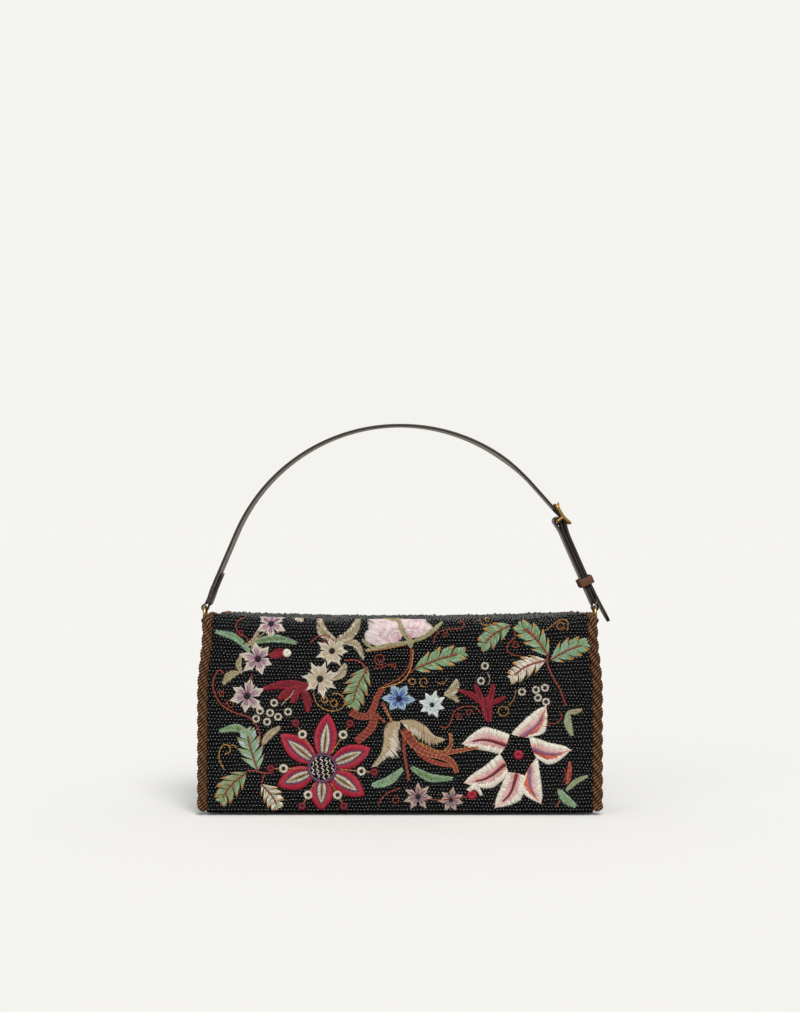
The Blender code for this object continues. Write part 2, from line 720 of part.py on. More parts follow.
def through_buckle(start):
    """The long strap's line from the arch's end, inside the top bar, over the centre bar, to its tip."""
    points = [
        start,
        on_strap(*under_top_bar()),
        on_strap(0, over_bar_out()),
        on_strap(-PINCH_LENGTH * 1.2, (over_bar_out() + outer_layer_out()) / 2 - CLEAR),
        on_strap(-PINCH_LENGTH * 2.2, outer_layer_out()),
        on_strap(KEEPER_ALONG, outer_layer_out()),
        on_strap((KEEPER_ALONG + TIP_ALONG) / 2, outer_layer_out() + (TIP_OUT - outer_layer_out()) * 0.35),
        on_strap(TIP_ALONG, TIP_OUT),
    ]
    return spline_through(points, BAND_STEP)[1:]


def strap_holes():
    """Centre, direction along the strap and length of the prong's slot and of the round eyelets."""
    top = on_strap(*under_top_bar())
    over = on_strap(0, over_bar_out())
    slope = (top - over).normalized()
    holes = [(over + slope * PRONG_SLOT_ALONG, slope, PRONG_SLOT_LENGTH)]
    along, _ = along_and_out()
    for i in range(EYELETS_EACH_WAY):
        place = on_strap(-EYELET_PITCH * (i + 1), outer_layer_out())
        holes.append((place, along, 2 * EYELET_RADIUS))
    return holes


def hole_cutter(name, place, direction, length):
    """A bar with round ends that cuts a hole through the strap, square to it."""
    normal = Vector((direction.z, 0, -direction.x))
    bm = bmesh.new()
    bmesh.ops.create_cone(
        bm,
        cap_ends=True,
        segments=12,
        radius1=EYELET_RADIUS,
        radius2=EYELET_RADIUS,
        depth=2 * CUT_OVERRUN,
    )
    stretch = length / 2 - EYELET_RADIUS
    for vert in bm.verts:
        vert.co.x += math.copysign(stretch, vert.co.x) if abs(vert.co.x) > CLEAR / 100 else 0
    turn = Matrix((direction, Vector((0, 1, 0)), normal)).transposed().to_4x4()
    bm.transform(Matrix.Translation(place) @ turn)
    return object_from(name, bm)


def make_buckle_strap():
    """The short strap: one band folded round the right ring and round the buckle's centre bar."""
    along, out = along_and_out()
    ring_eye = Vector((RING_X, 0, UPPER_EYE_Z))
    bar = Vector((BAR_X, 0, BAR_Z))
    layer = (FOLD_STRAP_THICKNESS + LAYER_GAP) / 2
    bar_loop = BAR_RADIUS + BAR_CLEAR + FOLD_STRAP_THICKNESS / 2
    length = (bar - ring_eye).length
    bottom = SHOULDER_END
    top = length - PINCH_LENGTH
    steps = 6
    inner = [ring_eye + along * (bottom + (top - bottom) * i / steps) - out * layer for i in range(steps + 1)]
    outer = [ring_eye + along * (top + (bottom - top) * i / steps) + out * layer for i in range(steps + 1)]
    line = inner[2:]
    line += eye_loop(bar, along, bar_loop, -115, 115, 12)
    line += outer
    line += eye_loop(ring_eye, along, EYE_RADIUS, 48, 312, 10)
    line += [inner[0], inner[1], inner[2] - along * CLEAR]
    stations = []
    for point in line:
        half_width, thickness = width_near_eye((point - ring_eye).dot(along), FOLD_STRAP_THICKNESS)
        stations.append((point, half_width, thickness, 0.0))
    obj = swept_band("buckle_strap", stations)
    slot = bmesh.new()
    side = 2 * (bar_loop + FOLD_STRAP_THICKNESS)
    size = (side, 2 * (PRONG_RADIUS + PRONG_CLEAR * 2), side)
    turn = Matrix((out, Vector((0, 1, 0)), along)).transposed().to_4x4()
    place = Matrix.Translation(bar - along * PRONG_RADIUS) @ turn @ Matrix.Diagonal((*size, 1))
    bmesh.ops.create_cube(slot, size=1, matrix=place)
    cut_with(obj, object_from("prong_slot_cutter", slot))
    return finish(obj, (DARK_LEATHER, 0.45, 0.0))


def make_keeper():
    """A loose leather loop round both straps, drawn across them and extruded along them."""
    along, out = along_and_out()
    layers_in = -(LAYER_GAP / 2 + FOLD_STRAP_THICKNESS)
    layers_out = outer_layer_out() + STRAP_THICKNESS / 2
    half_out = (layers_out - layers_in) / 2 + KEEPER_SLACK
    half_across = STRAP_HALF_WIDTH + KEEPER_SLACK / 2
    middle = on_strap(KEEPER_ALONG, (layers_out + layers_in) / 2)

    def rounded(half_a, half_b, radius):
        corners = ((half_a, half_b, 0), (-half_a, half_b, 90), (-half_a, -half_b, 180), (half_a, -half_b, 270))
        line = []
        for a, b, start in corners:
            centre = (a - math.copysign(radius, a), b - math.copysign(radius, b))
            line += arc(centre, radius, start, start + 90, 3)
        return line

    outer = rounded(half_out + KEEPER_WALL, half_across + KEEPER_WALL, KEEPER_WALL * 1.5)
    inner = rounded(half_out, half_across, KEEPER_WALL * 0.5)
    turn = Matrix((out, Vector((0, 1, 0)), along)).transposed().to_4x4()
    obj = plate("strap_keeper", [outer, inner], KEEPER_LENGTH, Matrix.Translation(middle) @ turn)
    return finish(obj, (TAN_LEATHER, 0.5, 0.0))


def make_buckle():
    """The frame: two side rails, each bowed with an arm to the centre bar, and three bars across."""
    rail_y = STRAP_HALF_WIDTH + RAIL_CLEAR + BAR_RADIUS
    top = on_strap(TOP_BAR_ALONG, TOP_BAR_OUT)
    low = on_strap(LOW_BAR_ALONG, LOW_BAR_OUT)
    rail = on_strap(RAIL_ALONG, RAIL_OUT)
    centre = on_strap(0, 0)
    across = Vector((0, rail_y, 0))
    loop = []
    for side in (-1, 1):
        bowed = spline_through([top, rail, low], BAR_RADIUS * 3)
        loop += [p + across * side for p in (bowed if side < 0 else reversed(bowed))]
    frame = mesh_from_curve(rod("buckle_frame", loop, BAR_RADIUS, cyclic=True))
    join_with(frame, mesh_from_curve(rod("centre_bar", [centre - across, centre + across], BAR_RADIUS)))
    for side, word in ((-1, "near"), (1, "far")):
        arm = [centre + across * side, rail + across * side]
        join_with(frame, mesh_from_curve(rod(f"{word}_arm", arm, BAR_RADIUS * 0.95)))
    return finish(frame, (BRASS, 0.25, 1.0), 50)


def make_prong():
    """The prong: an eye on the centre bar and a tapered tongue that rests on the top bar."""
    bar = on_strap(0, 0)
    eye_radius = BAR_RADIUS + PRONG_CLEAR + PRONG_RADIUS
    bpy.ops.mesh.primitive_torus_add(
        major_radius=eye_radius,
        minor_radius=PRONG_RADIUS,
        major_segments=SMALL_ROUND_STEPS,
        minor_segments=8,
        location=bar,
        rotation=(math.radians(90), 0, 0),
    )
    obj = bpy.context.object
    obj.name = "buckle_prong"
    over_top = on_strap(TOP_BAR_ALONG, TOP_BAR_OUT + BAR_RADIUS + CLEAR + PRONG_RADIUS)
    start = on_strap(eye_radius * 0.35, eye_radius * 0.95)
    along, _ = along_and_out()
    tip = over_top + along * PRONG_OVERHANG
    middle = start.lerp(over_top, 0.5)
    tongue = rod("prong_tongue", [start, middle, over_top, tip], PRONG_RADIUS, radii=[1, 1, 0.95, 0.6])
    join_with(obj, mesh_from_curve(tongue))
    return finish(obj, (BRASS, 0.25, 1.0), 50)


def build():
    clear_scene()
    make_shell()
    make_gusset("left_gusset", -1)
    make_gusset("right_gusset", 1)
    make_lining()
    make_pocket()
    make_base_board()
    finish(flap_top_sheet("flap_top_shell", 0.0, FLAP_SHELL), (BEADED, 0.3, 0.0), 40)
    finish(flap_top_sheet("flap_top_lining", FLAP_SHELL + CLEAR, LINING_WALL), (LINING_CLOTH, 0.8, 0.0), 40)
    finish(flap_front_sheet("flap_front_shell", FLAP_FACE_Y, FLAP_SHELL), (BEADED, 0.3, 0.0))
    board = flap_front_sheet("flap_board", FLAP_BOARD_Y - BOARD_THICKNESS, BOARD_THICKNESS, margin=BOARD_MARGIN)
    finish(board, (BOARD_GREY, 0.9, 0.0))
    finish(flap_front_sheet("flap_front_lining", FLAP_LINING_Y - LINING_WALL, LINING_WALL), (LINING_CLOTH, 0.8, 0.0))
    make_ropes(-1, "left")
    make_ropes(1, "right")
    make_snap()
    for side, word in ((-1, "left"), (1, "right")):
        make_ring(f"{word}_ring", side)
        make_tab(f"{word}_tab", side)
    make_main_strap()
    make_buckle_strap()
    make_keeper()
    make_buckle()
    make_prong()


build()
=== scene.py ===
import math

import bmesh
import bpy
import numpy as np
from mathutils import Matrix, Vector


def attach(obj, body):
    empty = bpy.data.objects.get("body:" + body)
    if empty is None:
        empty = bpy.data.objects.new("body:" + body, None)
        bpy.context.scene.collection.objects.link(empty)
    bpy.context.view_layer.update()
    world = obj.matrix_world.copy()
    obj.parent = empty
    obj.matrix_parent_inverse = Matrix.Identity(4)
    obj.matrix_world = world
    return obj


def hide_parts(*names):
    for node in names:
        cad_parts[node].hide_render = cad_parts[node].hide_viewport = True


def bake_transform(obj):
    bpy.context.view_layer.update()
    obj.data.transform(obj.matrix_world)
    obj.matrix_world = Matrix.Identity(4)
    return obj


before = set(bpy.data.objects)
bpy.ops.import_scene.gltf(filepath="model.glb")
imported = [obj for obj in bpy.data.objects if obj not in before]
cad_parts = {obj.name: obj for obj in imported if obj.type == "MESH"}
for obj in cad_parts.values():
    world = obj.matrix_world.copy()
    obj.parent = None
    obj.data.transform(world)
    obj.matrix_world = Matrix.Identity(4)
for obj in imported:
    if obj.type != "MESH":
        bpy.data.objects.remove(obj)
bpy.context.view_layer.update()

MM = 0.001
SIDES = (-1, "left"), (1, "right")

# The body and the flap, as the solids have them
HALF_BODY = 129.9 * MM
FRONT_Y = -22.0 * MM
BACK_Y = 22.0 * MM
BASE_BEND = 5.5 * MM
MOUTH_Z = 126.1 * MM
FACE_Y = -30.9 * MM
FLAP_TOP_Z = 133.0 * MM
HEM_Z = 2.8 * MM
FOLD_Z = 124.0 * MM
HINGE_Z = 124.0 * MM
BEND = 8.2 * MM
FRONT_RUN = FLAP_TOP_Z - BEND - HEM_Z
BEND_RUN = BEND * math.pi / 2
TOP_RUN = BACK_Y - FACE_Y - 2 * BEND
FOLD_S = FOLD_Z - HEM_Z
HINGE_S = FRONT_RUN + 2 * BEND_RUN + TOP_RUN + FLAP_TOP_Z - BEND - HINGE_Z
# How far on each side of the fold the cloth bends
FOLD_REACH = 4 * MM
# How far the back's and the side panels' top edges stop below the hinge
HINGE_GAP = 0.4 * MM

# The rope along the flap's sides
ROPE_X_LOW = 131.5 * MM
ROPE_X_HIGH = 128.2 * MM
ROPE_CLIMB_Z = 82 * MM
WAIST_X = 117.8 * MM
WAIST_FRONT_Y = -14.0 * MM
WAIST_BACK_Y = 9.0 * MM
BACK_FLARE = 6.5 * MM
ROPE_DEPTH = 2.3 * MM
ROPE_DEPTH_ON_TOP = 3.0 * MM
ROPE_SEAT = 4.0 * MM
PLIES = 3
PLY_OFFSET = 1.85 * MM
PLY_RADIUS = 2.1 * MM
PLY_PITCH = 27.0 * MM
PLY_END = 2.0 * MM
THREAD_RELIEF = 0.75 * MM
THREAD_TURN = 8.0 * MM
CORNER_Y = -24.4 * MM
THREADS_IN_PLY = 4
# How far the middle of the flap's top sinks between its two ends, and its corners rise
SAG = 2.8 * MM
CORNER_LIFT = 1.5 * MM

# Beads and stitches; the radii are of a bead's three half-axes
BEAD_PITCH = 2.2 * MM
BEAD_ROW = 2.3 * MM
BEAD_CENTRE = -0.5 * MM
BEAD_RADII = 1.02 * MM, 1.08 * MM, 1.02 * MM
STITCH_BASE = -0.05 * MM
# A stitch starts a little higher than it ends; the tables' lifts and heights are scaled
STITCH_RISE = 0.08 * MM
LIFT_SCALE, HEIGHT_SCALE = 0.8, 1.5
FIRST_ROW = 1.1 * MM
# The waves of a row of beads: height, length and how far they move on from row to row
BEAD_WAVES = (0.55 * MM, 0.021, 0.31), (0.28 * MM, 0.0067, 1.3)
GROUND_DEPTH = 0.8 * MM
COVER_CELL = 0.4 * MM
COVER_SIZE = 760, 420
COVER_ZERO = 380, 10
PIXEL = 0.665
PHOTO_MID_X = 400
PHOTO_FOOT_Y = 816
PHOTO_HEM_Y = 810.5

# Rings, strap and buckle
RING_X = 133.0 * MM
RING_Z = 132.3 * MM
RING_RADIUS = 5.0 * MM
RING_WIRE = 1.1 * MM
UPPER_EYE_Z = 136.9 * MM
LOWER_EYE_Z = 127.7 * MM
EYE_RADIUS = 2.2 * MM
# Where an eye's loop ends, along the strap, and the degrees between which it turns
EYE_END = 3.6 * MM
EYE_TURN = 48, 312
STRAP_HALF = 7.0 * MM
STRAP_THICK = 2.0 * MM
SHORT_THICK = 1.6 * MM
TONGUE_HALF = 2.6 * MM
TONGUE_THICK = 1.0 * MM
LAYER_GAP = 0.3 * MM
ARCH_RADIUS = 121.0 * MM
ARCH_CENTRE_Z = 140.0 * MM
BAR = Vector((107.0 * MM, 0, 195.8 * MM))
BAR_RADIUS = 1.1 * MM
BAR_CLEAR = 0.25 * MM
WIRE_RADIUS = 0.8 * MM
HOLE_RADIUS = 1.3 * MM
# Places along the short strap from the buckle's bar and out from it, in millimetres
TOP_BAR = 10.3, 3.6
RAIL = 1.3, 4.6
LOW_BAR = -4.4, 7.2
KEEPER_ALONG = -45.3
TIP = -76.6, 4.8
# The long strap's middle lies over half a gap, the short strap, a gap and half its own thickness
LONG_OUT = 0.15 + 1.6 + 0.3 + 1.0
# It passes over the buckle's bar and the short strap round it, and then under the top bar
OVER_BAR = 0, 1.1 + 0.25 + 1.6 + 0.3 + 1.0
UNDER_TOP_BAR = 10.3 - 0.55, 3.6 - 1.1 - 0.3 - 1.0 - 0.15
TIP_TAPER = 6 * MM


def tint(red, green, blue):
    """A screen colour of 0 to 255 as the renderer's linear colour."""
    shares = [value / 255 for value in (red, green, blue)]
    return [s / 12.92 if s <= 0.04045 else ((s + 0.055) / 1.055) ** 2.4 for s in shares]


# ---- shader maths ----


def maths(operation, turned=False):
    def apply(self, other):
        return self.look.node("ShaderNodeMath", {"operation": operation}, [other, self] if turned else [self, other])

    return apply


class Value:
    """A shader socket that sums and products can be written with."""

    def __init__(self, look, socket):
        self.look = look
        self.socket = socket

    __add__, __radd__ = maths("ADD"), maths("ADD", True)
    __sub__, __rsub__ = maths("SUBTRACT"), maths("SUBTRACT", True)
    __mul__, __rmul__ = maths("MULTIPLY"), maths("MULTIPLY", True)
    __truediv__ = maths("DIVIDE")

    def does(self, operation, other=0.0):
        return maths(operation)(self, other)


class Look:
    """The nodes of a material or a world, written as expressions."""

    def __init__(self, owner, **fixed):
        self.owner = owner if isinstance(owner, bpy.types.World) else bpy.data.materials.new(owner)
        self.owner.use_nodes = True
        self.tree = self.owner.node_tree
        for socket, value in fixed.items():
            self.feed(socket.replace("_", " ").title().replace("Ior", "IOR"), value)

    def node(self, kind, settings=None, values=None, out=0):
        """A new node; the values go by their sockets' names, or in order."""
        made = self.tree.nodes.new(kind)
        for name, value in (settings or {}).items():
            if name == "stops":
                ramp = made.color_ramp.elements
                while len(ramp) < len(value):
                    ramp.new(0.5)
                for stop, (place, colour) in zip(ramp, value):
                    stop.position = place
                    stop.color = (*colour, 1)
            else:
                setattr(made, name, value)
        for name, value in (values.items() if isinstance(values, dict) else enumerate(values or ())):
            self.join(made.inputs[name], value)
        return Value(self, made.outputs[out])

    def join(self, socket, value):
        if isinstance(value, Value):
            self.tree.links.new(value.socket, socket)
        else:
            socket.default_value = (*value, 1) if socket.type == "RGBA" else value

    def feed(self, name, value):
        self.join(self.tree.nodes["Principled BSDF"].inputs[name], value)

    def place(self, source="Object"):
        return self.node("ShaderNodeTexCoord", out=source)

    def ray(self, kind):
        return self.node("ShaderNodeLightPath", out=f"Is {kind} Ray")

    def attribute(self, name, out="Fac"):
        return self.node("ShaderNodeAttribute", {"attribute_name": name}, out=out)

    def noise(self, scale, detail, stretch=(1, 1, 1)):
        sized = self.node("ShaderNodeMapping", None, {"Vector": self.place(), "Scale": stretch})
        return self.node("ShaderNodeTexNoise", None, {"Vector": sized, "Scale": scale, "Detail": detail})

    def axis(self, where, name):
        return self.node("ShaderNodeSeparateXYZ", None, [where], name)

    def mix(self, share, first, second, kind="MIX"):
        made = self.tree.nodes.new("ShaderNodeMix")
        made.data_type = "RGBA"
        made.blend_type = kind
        ends = {"A": first, "B": second}
        for socket in made.inputs:
            if socket.name in ends and socket.type == "RGBA":
                self.join(socket, ends[socket.name])
        self.join(made.inputs[0], share)
        return Value(self, next(o for o in made.outputs if o.type == "RGBA"))

    def done(self, colour, roughness=None, height=None, strength=0.0, distance=0.0):
        """Feeds the colour, the roughness and the relief, and gives the material."""
        self.feed("Base Color", colour)
        if roughness is not None:
            self.feed("Roughness", roughness)
        if height is not None:
            relief = {"Height": height, "Strength": strength, "Distance": distance}
            self.feed("Normal", self.node("ShaderNodeBump", None, relief))
        return self.owner


def bead_look(name):
    look = Look(name, roughness=0.2, specular_ior_level=0.8, coat_weight=0.8, coat_roughness=0.12)
    tone = look.attribute("tone")
    return look.done(look.mix(tone, tint(1, 1, 1), tint(7, 8, 8)), 0.14 + tone * 0.14)


def thread_look(name):
    look = Look(name, roughness=0.48, sheen_weight=0.1, sheen_roughness=0.4)
    fleck = look.noise(1700, 2)
    colour = look.mix(fleck * 0.35, look.attribute("thread", "Color"), tint(60, 45, 38), "MULTIPLY")
    return look.done(colour, 0.36 + fleck * 0.3, fleck, 0.25, 0.0002)


def rope_look(name):
    look = Look(name, roughness=0.5, specular_ior_level=0.25)
    strand = look.attribute("strand", "Color")
    height, fibre = look.axis(strand, "X"), look.axis(strand, "Y")
    patches, fine = look.noise(130, 3), look.noise(2600, 2)
    # The ramp paints light by the thread's height: its grooves go nearly black as painted shade and its crowns a bright
    # painted highlight; the patches vary at random.
    stops = (0.2, tint(6, 3, 1)), (0.5, tint(58, 35, 19)), (0.78, tint(124, 83, 51)), (1.0, tint(192, 140, 94))
    body = look.node("ShaderNodeValToRGB", {"stops": stops}, {"Fac": height * 0.8 + patches * 0.3 - 0.08})
    twist = (fibre * 60.0).does("SINE") * 0.5 + 0.5
    colour = look.mix(fine * 0.2, body, tint(120, 80, 50), "MULTIPLY")
    return look.done(colour, 0.4 + fine * 0.25, twist * 0.6 + fine * 0.4, 0.45, 0.00025)


# Pale colours for the strap's face turned to the inside of the arch: painted light on that face.
PAINTED_LIGHT_FACE_DARK, PAINTED_LIGHT_FACE_LIGHT = tint(198, 184, 172), tint(224, 211, 199)
CREASE_HALF = 0.35 * MM


def leather_look(name, dark, light, roughness=0.46, grain=1500, crease_at=None):
    """Leather with pores and, where asked, a pressed line; its back, the face marked on the mesh, is painted pale as
    painted light on that face.
    """
    look = Look(name, roughness=roughness, coat_roughness=0.35)
    pores = look.node("ShaderNodeTexVoronoi", {"feature": "F1"}, {"Vector": look.place(), "Scale": grain})
    broad, fine = look.noise(60, 3), look.noise(2200, 3)
    front = look.mix(broad * 0.7 + fine * 0.3, dark, light)
    height = pores.does("MINIMUM", 0.6) * 0.7 + fine * 0.5
    if crease_at:
        across = look.axis(look.place("UV"), "X").does("ABSOLUTE")
        crease = ((across - crease_at).does("ABSOLUTE") / CREASE_HALF).does("MINIMUM", 1.0)
        height = height * 0.5 + crease * 1.2
    # Where the mesh marks the back, the colour is painted pale, as painted light on the inward face.
    colour = look.mix(look.attribute("back"), front, look.mix(fine, PAINTED_LIGHT_FACE_DARK, PAINTED_LIGHT_FACE_LIGHT))
    return look.done(colour, (roughness - 0.1) + fine * 0.2, height, 0.35, 0.0003)


def metal_look(name, colour, shade, roughness):
    look = Look(name, metallic=0.72, roughness=roughness)
    wear, scratches = look.noise(240, 4), look.noise(900, 2, (1, 6, 1))
    rough = roughness - 0.06 + wear * 0.1 + scratches * 0.06
    return look.done(look.mix(wear * 0.6, colour, shade), rough, scratches, 0.06, 0.0001)


def cloth_look(name, dark, light, pitch, roughness=0.7, sheen=0.2):
    """A plain weave, its warp and weft drawn from the piece's own UV map in metres."""
    look = Look(name, roughness=roughness, sheen_weight=sheen)
    where = look.place("UV")
    warp, weft = ((look.axis(where, name) * (2 * math.pi / pitch)).does("SINE") for name in "XY")
    weave = (warp * weft) * 0.5 + 0.5
    slubs = look.noise(260, 3)
    colour = look.mix(weave * 0.6 + slubs * 0.4, dark, light)
    return look.done(colour, roughness - 0.1 + slubs * 0.2, weave * 0.7 + slubs * 0.6, 0.4, 0.0002)


def board_look(name):
    look = Look(name, roughness=0.9)
    fibres = look.noise(500, 4, (1, 3, 3))
    return look.done(look.mix(fibres, tint(120, 112, 100), tint(160, 152, 138)), None, fibres, 0.3, 0.0003)


# ---- making pieces ----


def piece(name, mesh, look, body, sharp=None):
    """Puts a finished mesh into the scene, attached to its body where it has one."""
    obj = bpy.data.objects.new(name, mesh)
    bpy.context.scene.collection.objects.link(obj)
    mesh.materials.append(look)
    mesh.shade_smooth()
    if sharp:
        mesh.set_sharp_from_angle(angle=math.radians(sharp))
    if body:
        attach(obj, body)
    return obj


def meshed(name, bm, outward=False):
    """Writes the points and faces out to a new mesh, with its faces turned outwards where asked."""
    if outward:
        bm.normal_update()
        bmesh.ops.recalc_face_normals(bm, faces=bm.faces)
    mesh = bpy.data.meshes.new(name)
    bm.to_mesh(mesh)
    bm.free()
    return mesh


def joined(name, meshes):
    bm = bmesh.new()
    for mesh in meshes:
        bm.from_mesh(mesh)
    return meshed(name, bm)


def cut_up(bm):
    """The points and triangles as two arrays."""
    bmesh.ops.triangulate(bm, faces=bm.faces)
    bm.verts.index_update()
    points = np.array([v.co[:] for v in bm.verts])
    faces = np.array([[v.index for v in f.verts] for f in bm.faces])
    bm.free()
    return points, faces


def copies(name, points, faces):
    """One mesh of many copies of a small form; points has one row of places for each copy."""
    count, each = points.shape[:2]
    all_faces = (faces[None] + (np.arange(count) * each)[:, None, None]).reshape(-1, 3)
    mesh = bpy.data.meshes.new(name)
    mesh.from_pydata(points.reshape(-1, 3).tolist(), [], all_faces.tolist())
    bm = bmesh.new()
    bm.from_mesh(mesh)
    return meshed(name, bm, True)


def column(items, key, wide=3, kind=float):
    flat = np.empty(len(items) * wide, kind)
    items.foreach_get(key, flat)
    return flat.reshape(-1, wide) if wide > 1 else flat


def surface(name, across, along, place, pattern=None, seam=False, ring=False, flip=False, extra=None):
    """A grid of quads laid out by place(u, v); a seam joins its sides, and its ends are capped or make a ring."""
    bm = bmesh.new()
    bm.loops.layers.uv.new("UVMap")
    bmesh.ops.create_grid(bm, x_segments=across, y_segments=along, size=0.5, calc_uvs=True)
    mesh = meshed(name, bm)
    u, v = column(mesh.vertices, "co")[:, :2].T + 0.5
    mesh.vertices.foreach_set("co", np.asarray(place(u, v), float).ravel())
    loops = column(mesh.loops, "vertex_index", 1, int)
    if pattern:
        mesh.uv_layers.active.data.foreach_set("uv", np.asarray(pattern(u, v), float)[loops].ravel())
    if extra:
        layer = mesh.attributes.new(extra[0], "FLOAT_COLOR", "CORNER")
        layer.data.foreach_set("color", np.asarray(extra[1](u, v), float)[loops].ravel())
    bm = bmesh.new()
    bm.from_mesh(mesh)
    if seam:
        bmesh.ops.remove_doubles(bm, verts=bm.verts, dist=1e-6)
        if not ring:
            bmesh.ops.holes_fill(bm, edges=[e for e in bm.edges if e.is_boundary], sides=0)
        bm.normal_update()
        bmesh.ops.recalc_face_normals(bm, faces=bm.faces)
    elif flip:
        bmesh.ops.reverse_faces(bm, faces=bm.faces)
    bm.to_mesh(mesh)
    bm.free()
    mesh.update()
    return mesh


def thickened(obj, wall, rim=None):
    solid = obj.modifiers.new("wall", "SOLIDIFY")
    solid.thickness = wall
    solid.offset = -1
    solid.use_even_offset = True
    if rim:
        soft = obj.modifiers.new("rim", "BEVEL")
        soft.width = rim
        soft.segments = 3
        soft.limit_method = "ANGLE"
        soft.angle_limit = math.radians(50)


def spline(points, step=None, pieces=None):
    """Points on a smooth curve through the given ones, about a step apart or so many between each two."""
    points = [np.asarray(p, float) for p in points]
    ends = [2 * points[0] - points[1], *points, 2 * points[-1] - points[-2]]
    found = []
    for a, b, c, d in zip(ends, ends[1:], ends[2:], ends[3:]):
        count = pieces or max(1, round(np.linalg.norm(c - b) / step))
        first, second, third = c - a, 2 * a - 5 * b + 4 * c - d, 3 * b - a - 3 * c + d
        found += [(2 * b + first * t + second * t**2 + third * t**3) / 2 for t in (i / count for i in range(count))]
    return np.array([*found, points[-1]])


def steps_between(start, end, steps):
    return [start + (end - start) * i / steps for i in range(steps + 1)]


def turned(*degrees):
    """Angles in radians from one number of degrees to another."""
    return [math.radians(angle) for angle in steps_between(*degrees)]


def arc(centre, radius, *angles):
    return [(centre[0] + radius * math.cos(a), centre[1] + radius * math.sin(a)) for a in turned(*angles)]


def lengths(rows):
    return np.linalg.norm(rows, axis=1)


def unit_rows(rows):
    return rows / lengths(rows)[:, None]


class Route:
    """A polyline read by the share of its length, with its direction and a steady pair of cross directions."""

    def __init__(self, points, closed=False, up=None):
        self.points = np.asarray(points, float)
        if closed:
            self.points = np.vstack([self.points, self.points[:1]])
        self.at = np.concatenate([[0], np.cumsum(lengths(np.diff(self.points, axis=0)))])
        self.length = self.at[-1]
        ahead = np.gradient(self.points, self.at, axis=0)
        if closed:
            ahead[0] = ahead[-1] = self.points[1] - self.points[-2]
        self.ahead = unit_rows(ahead)
        side = np.cross(self.ahead[0], up if up is not None else (0.13, 1, 0.07))
        sides = [side / np.linalg.norm(side)]
        for direction in self.ahead[1:]:
            side = np.cross(direction, up) if up is not None else sides[-1] - direction * sides[-1].dot(direction)
            sides.append(side / np.linalg.norm(side))
        self.side = np.array(sides)

    def read(self, share, rows):
        at = np.asarray(share) * self.length
        return np.stack([np.interp(at, self.at, rows[:, k]) for k in range(rows.shape[1])], -1)

    def frame(self, share):
        ahead, side, centre = (self.read(share, rows) for rows in (self.ahead, self.side, self.points))
        return centre, side, np.cross(ahead, side)


def tube(name, points, radius, along, closed=False, around=16, up=None):
    """A round bar along the points; the radius may be a number or a function of the share of its length."""
    route = Route(points, closed, up)

    def place(u, v):
        centre, side, third = route.frame(v)
        size = radius(v)[:, None] if callable(radius) else radius
        angle = 2 * math.pi * u[:, None]
        return centre + (side * np.cos(angle) + third * np.sin(angle)) * size

    return surface(name, around, along, place, seam=True, ring=closed)


QUARTERS = (1, 1, 0), (-1, 1, 90), (-1, -1, 180), (1, -1, 270)
CORNER_STEPS = 4
SECTION = [(a, b, way) for a, b, start in QUARTERS for way in turned(start, start + 90, CORNER_STEPS)]
SECTION = np.array(SECTION + SECTION[:1])
SECTION_STEPS = len(SECTION) - 1
BAND_STEP = 0.0009


def rounded(u, wide, thick, soft):
    """Places across and through a flat section with rounded corners, by the share of the way round it."""
    a, b, way = SECTION[np.rint(u * SECTION_STEPS).astype(int)].T
    return a * (wide - soft) + soft * np.cos(way), b * (thick - soft) + soft * np.sin(way)


def band(name, points, half_widths, thicknesses, corner, twists=0.0):
    """A flat strap along points in XZ, with rounded edges; widths and such are given at each point."""
    route = Route(points, up=(0, 1, 0))
    given = route.at / route.length
    level = np.array([[0.0, 1.0, 0.0]])

    def spread(u, v):
        thick = np.interp(v, given, thicknesses) / 2
        return rounded(u, np.interp(v, given, half_widths), thick, np.minimum(corner, thick * 0.95))

    def place(u, v):
        through = unit_rows(np.cross(route.read(v, route.ahead), level))
        turn = np.radians(np.interp(v, given, np.broadcast_to(twists, given.shape)))[:, None]
        a, b = (x[:, None] for x in spread(u, v))
        across_way = level * np.cos(turn) + through * np.sin(turn)
        through_way = through * np.cos(turn) - level * np.sin(turn)
        return route.read(v, route.points) + across_way * a + through_way * b

    def pattern(u, v):
        return np.stack([spread(u, v)[0], v * route.length], -1)

    return surface(name, SECTION_STEPS, int(route.length / BAND_STEP), place, pattern, seam=True)


def grains(name, starts, ends, half_width, height, colours, lay, sides):
    """Many small rice-shaped stitches, each from a start to an end, in one mesh with a colour at each point."""
    bm = bmesh.new()
    bmesh.ops.create_uvsphere(bm, u_segments=sides, v_segments=4, radius=1)
    unit, faces = cut_up(bm)
    up = np.array((0.0, 0.0, 1.0))
    along = ends - starts
    over = np.cross(along, up)
    over /= lengths(over)[:, None] + 1e-12
    share = (unit[:, 2] * 0.5 + 0.5)[None, :, None]
    points = starts[:, None] + along[:, None] * share
    points = points + over[:, None] * unit[None, :, :1] * half_width[:, None, None]
    points = points + up * unit[None, :, 1:2] * height[:, None, None]
    mesh = copies(name, lay(points.reshape(-1, 3)).reshape(points.shape), faces)
    shades = colours[:, None, 0] * (1 - share) + colours[:, None, 1] * share
    full = np.concatenate([shades.reshape(-1, 3), np.ones((shades.size // 3, 1))], 1)
    mesh.attributes.new("thread", "FLOAT_COLOR", "POINT").data.foreach_set("color", full.ravel())
    return mesh


# ---- the flap's outside, as one strip from hem to back ----


def eased(share):
    share = np.clip(share, 0, 1)
    return share * share * (3 - 2 * share)


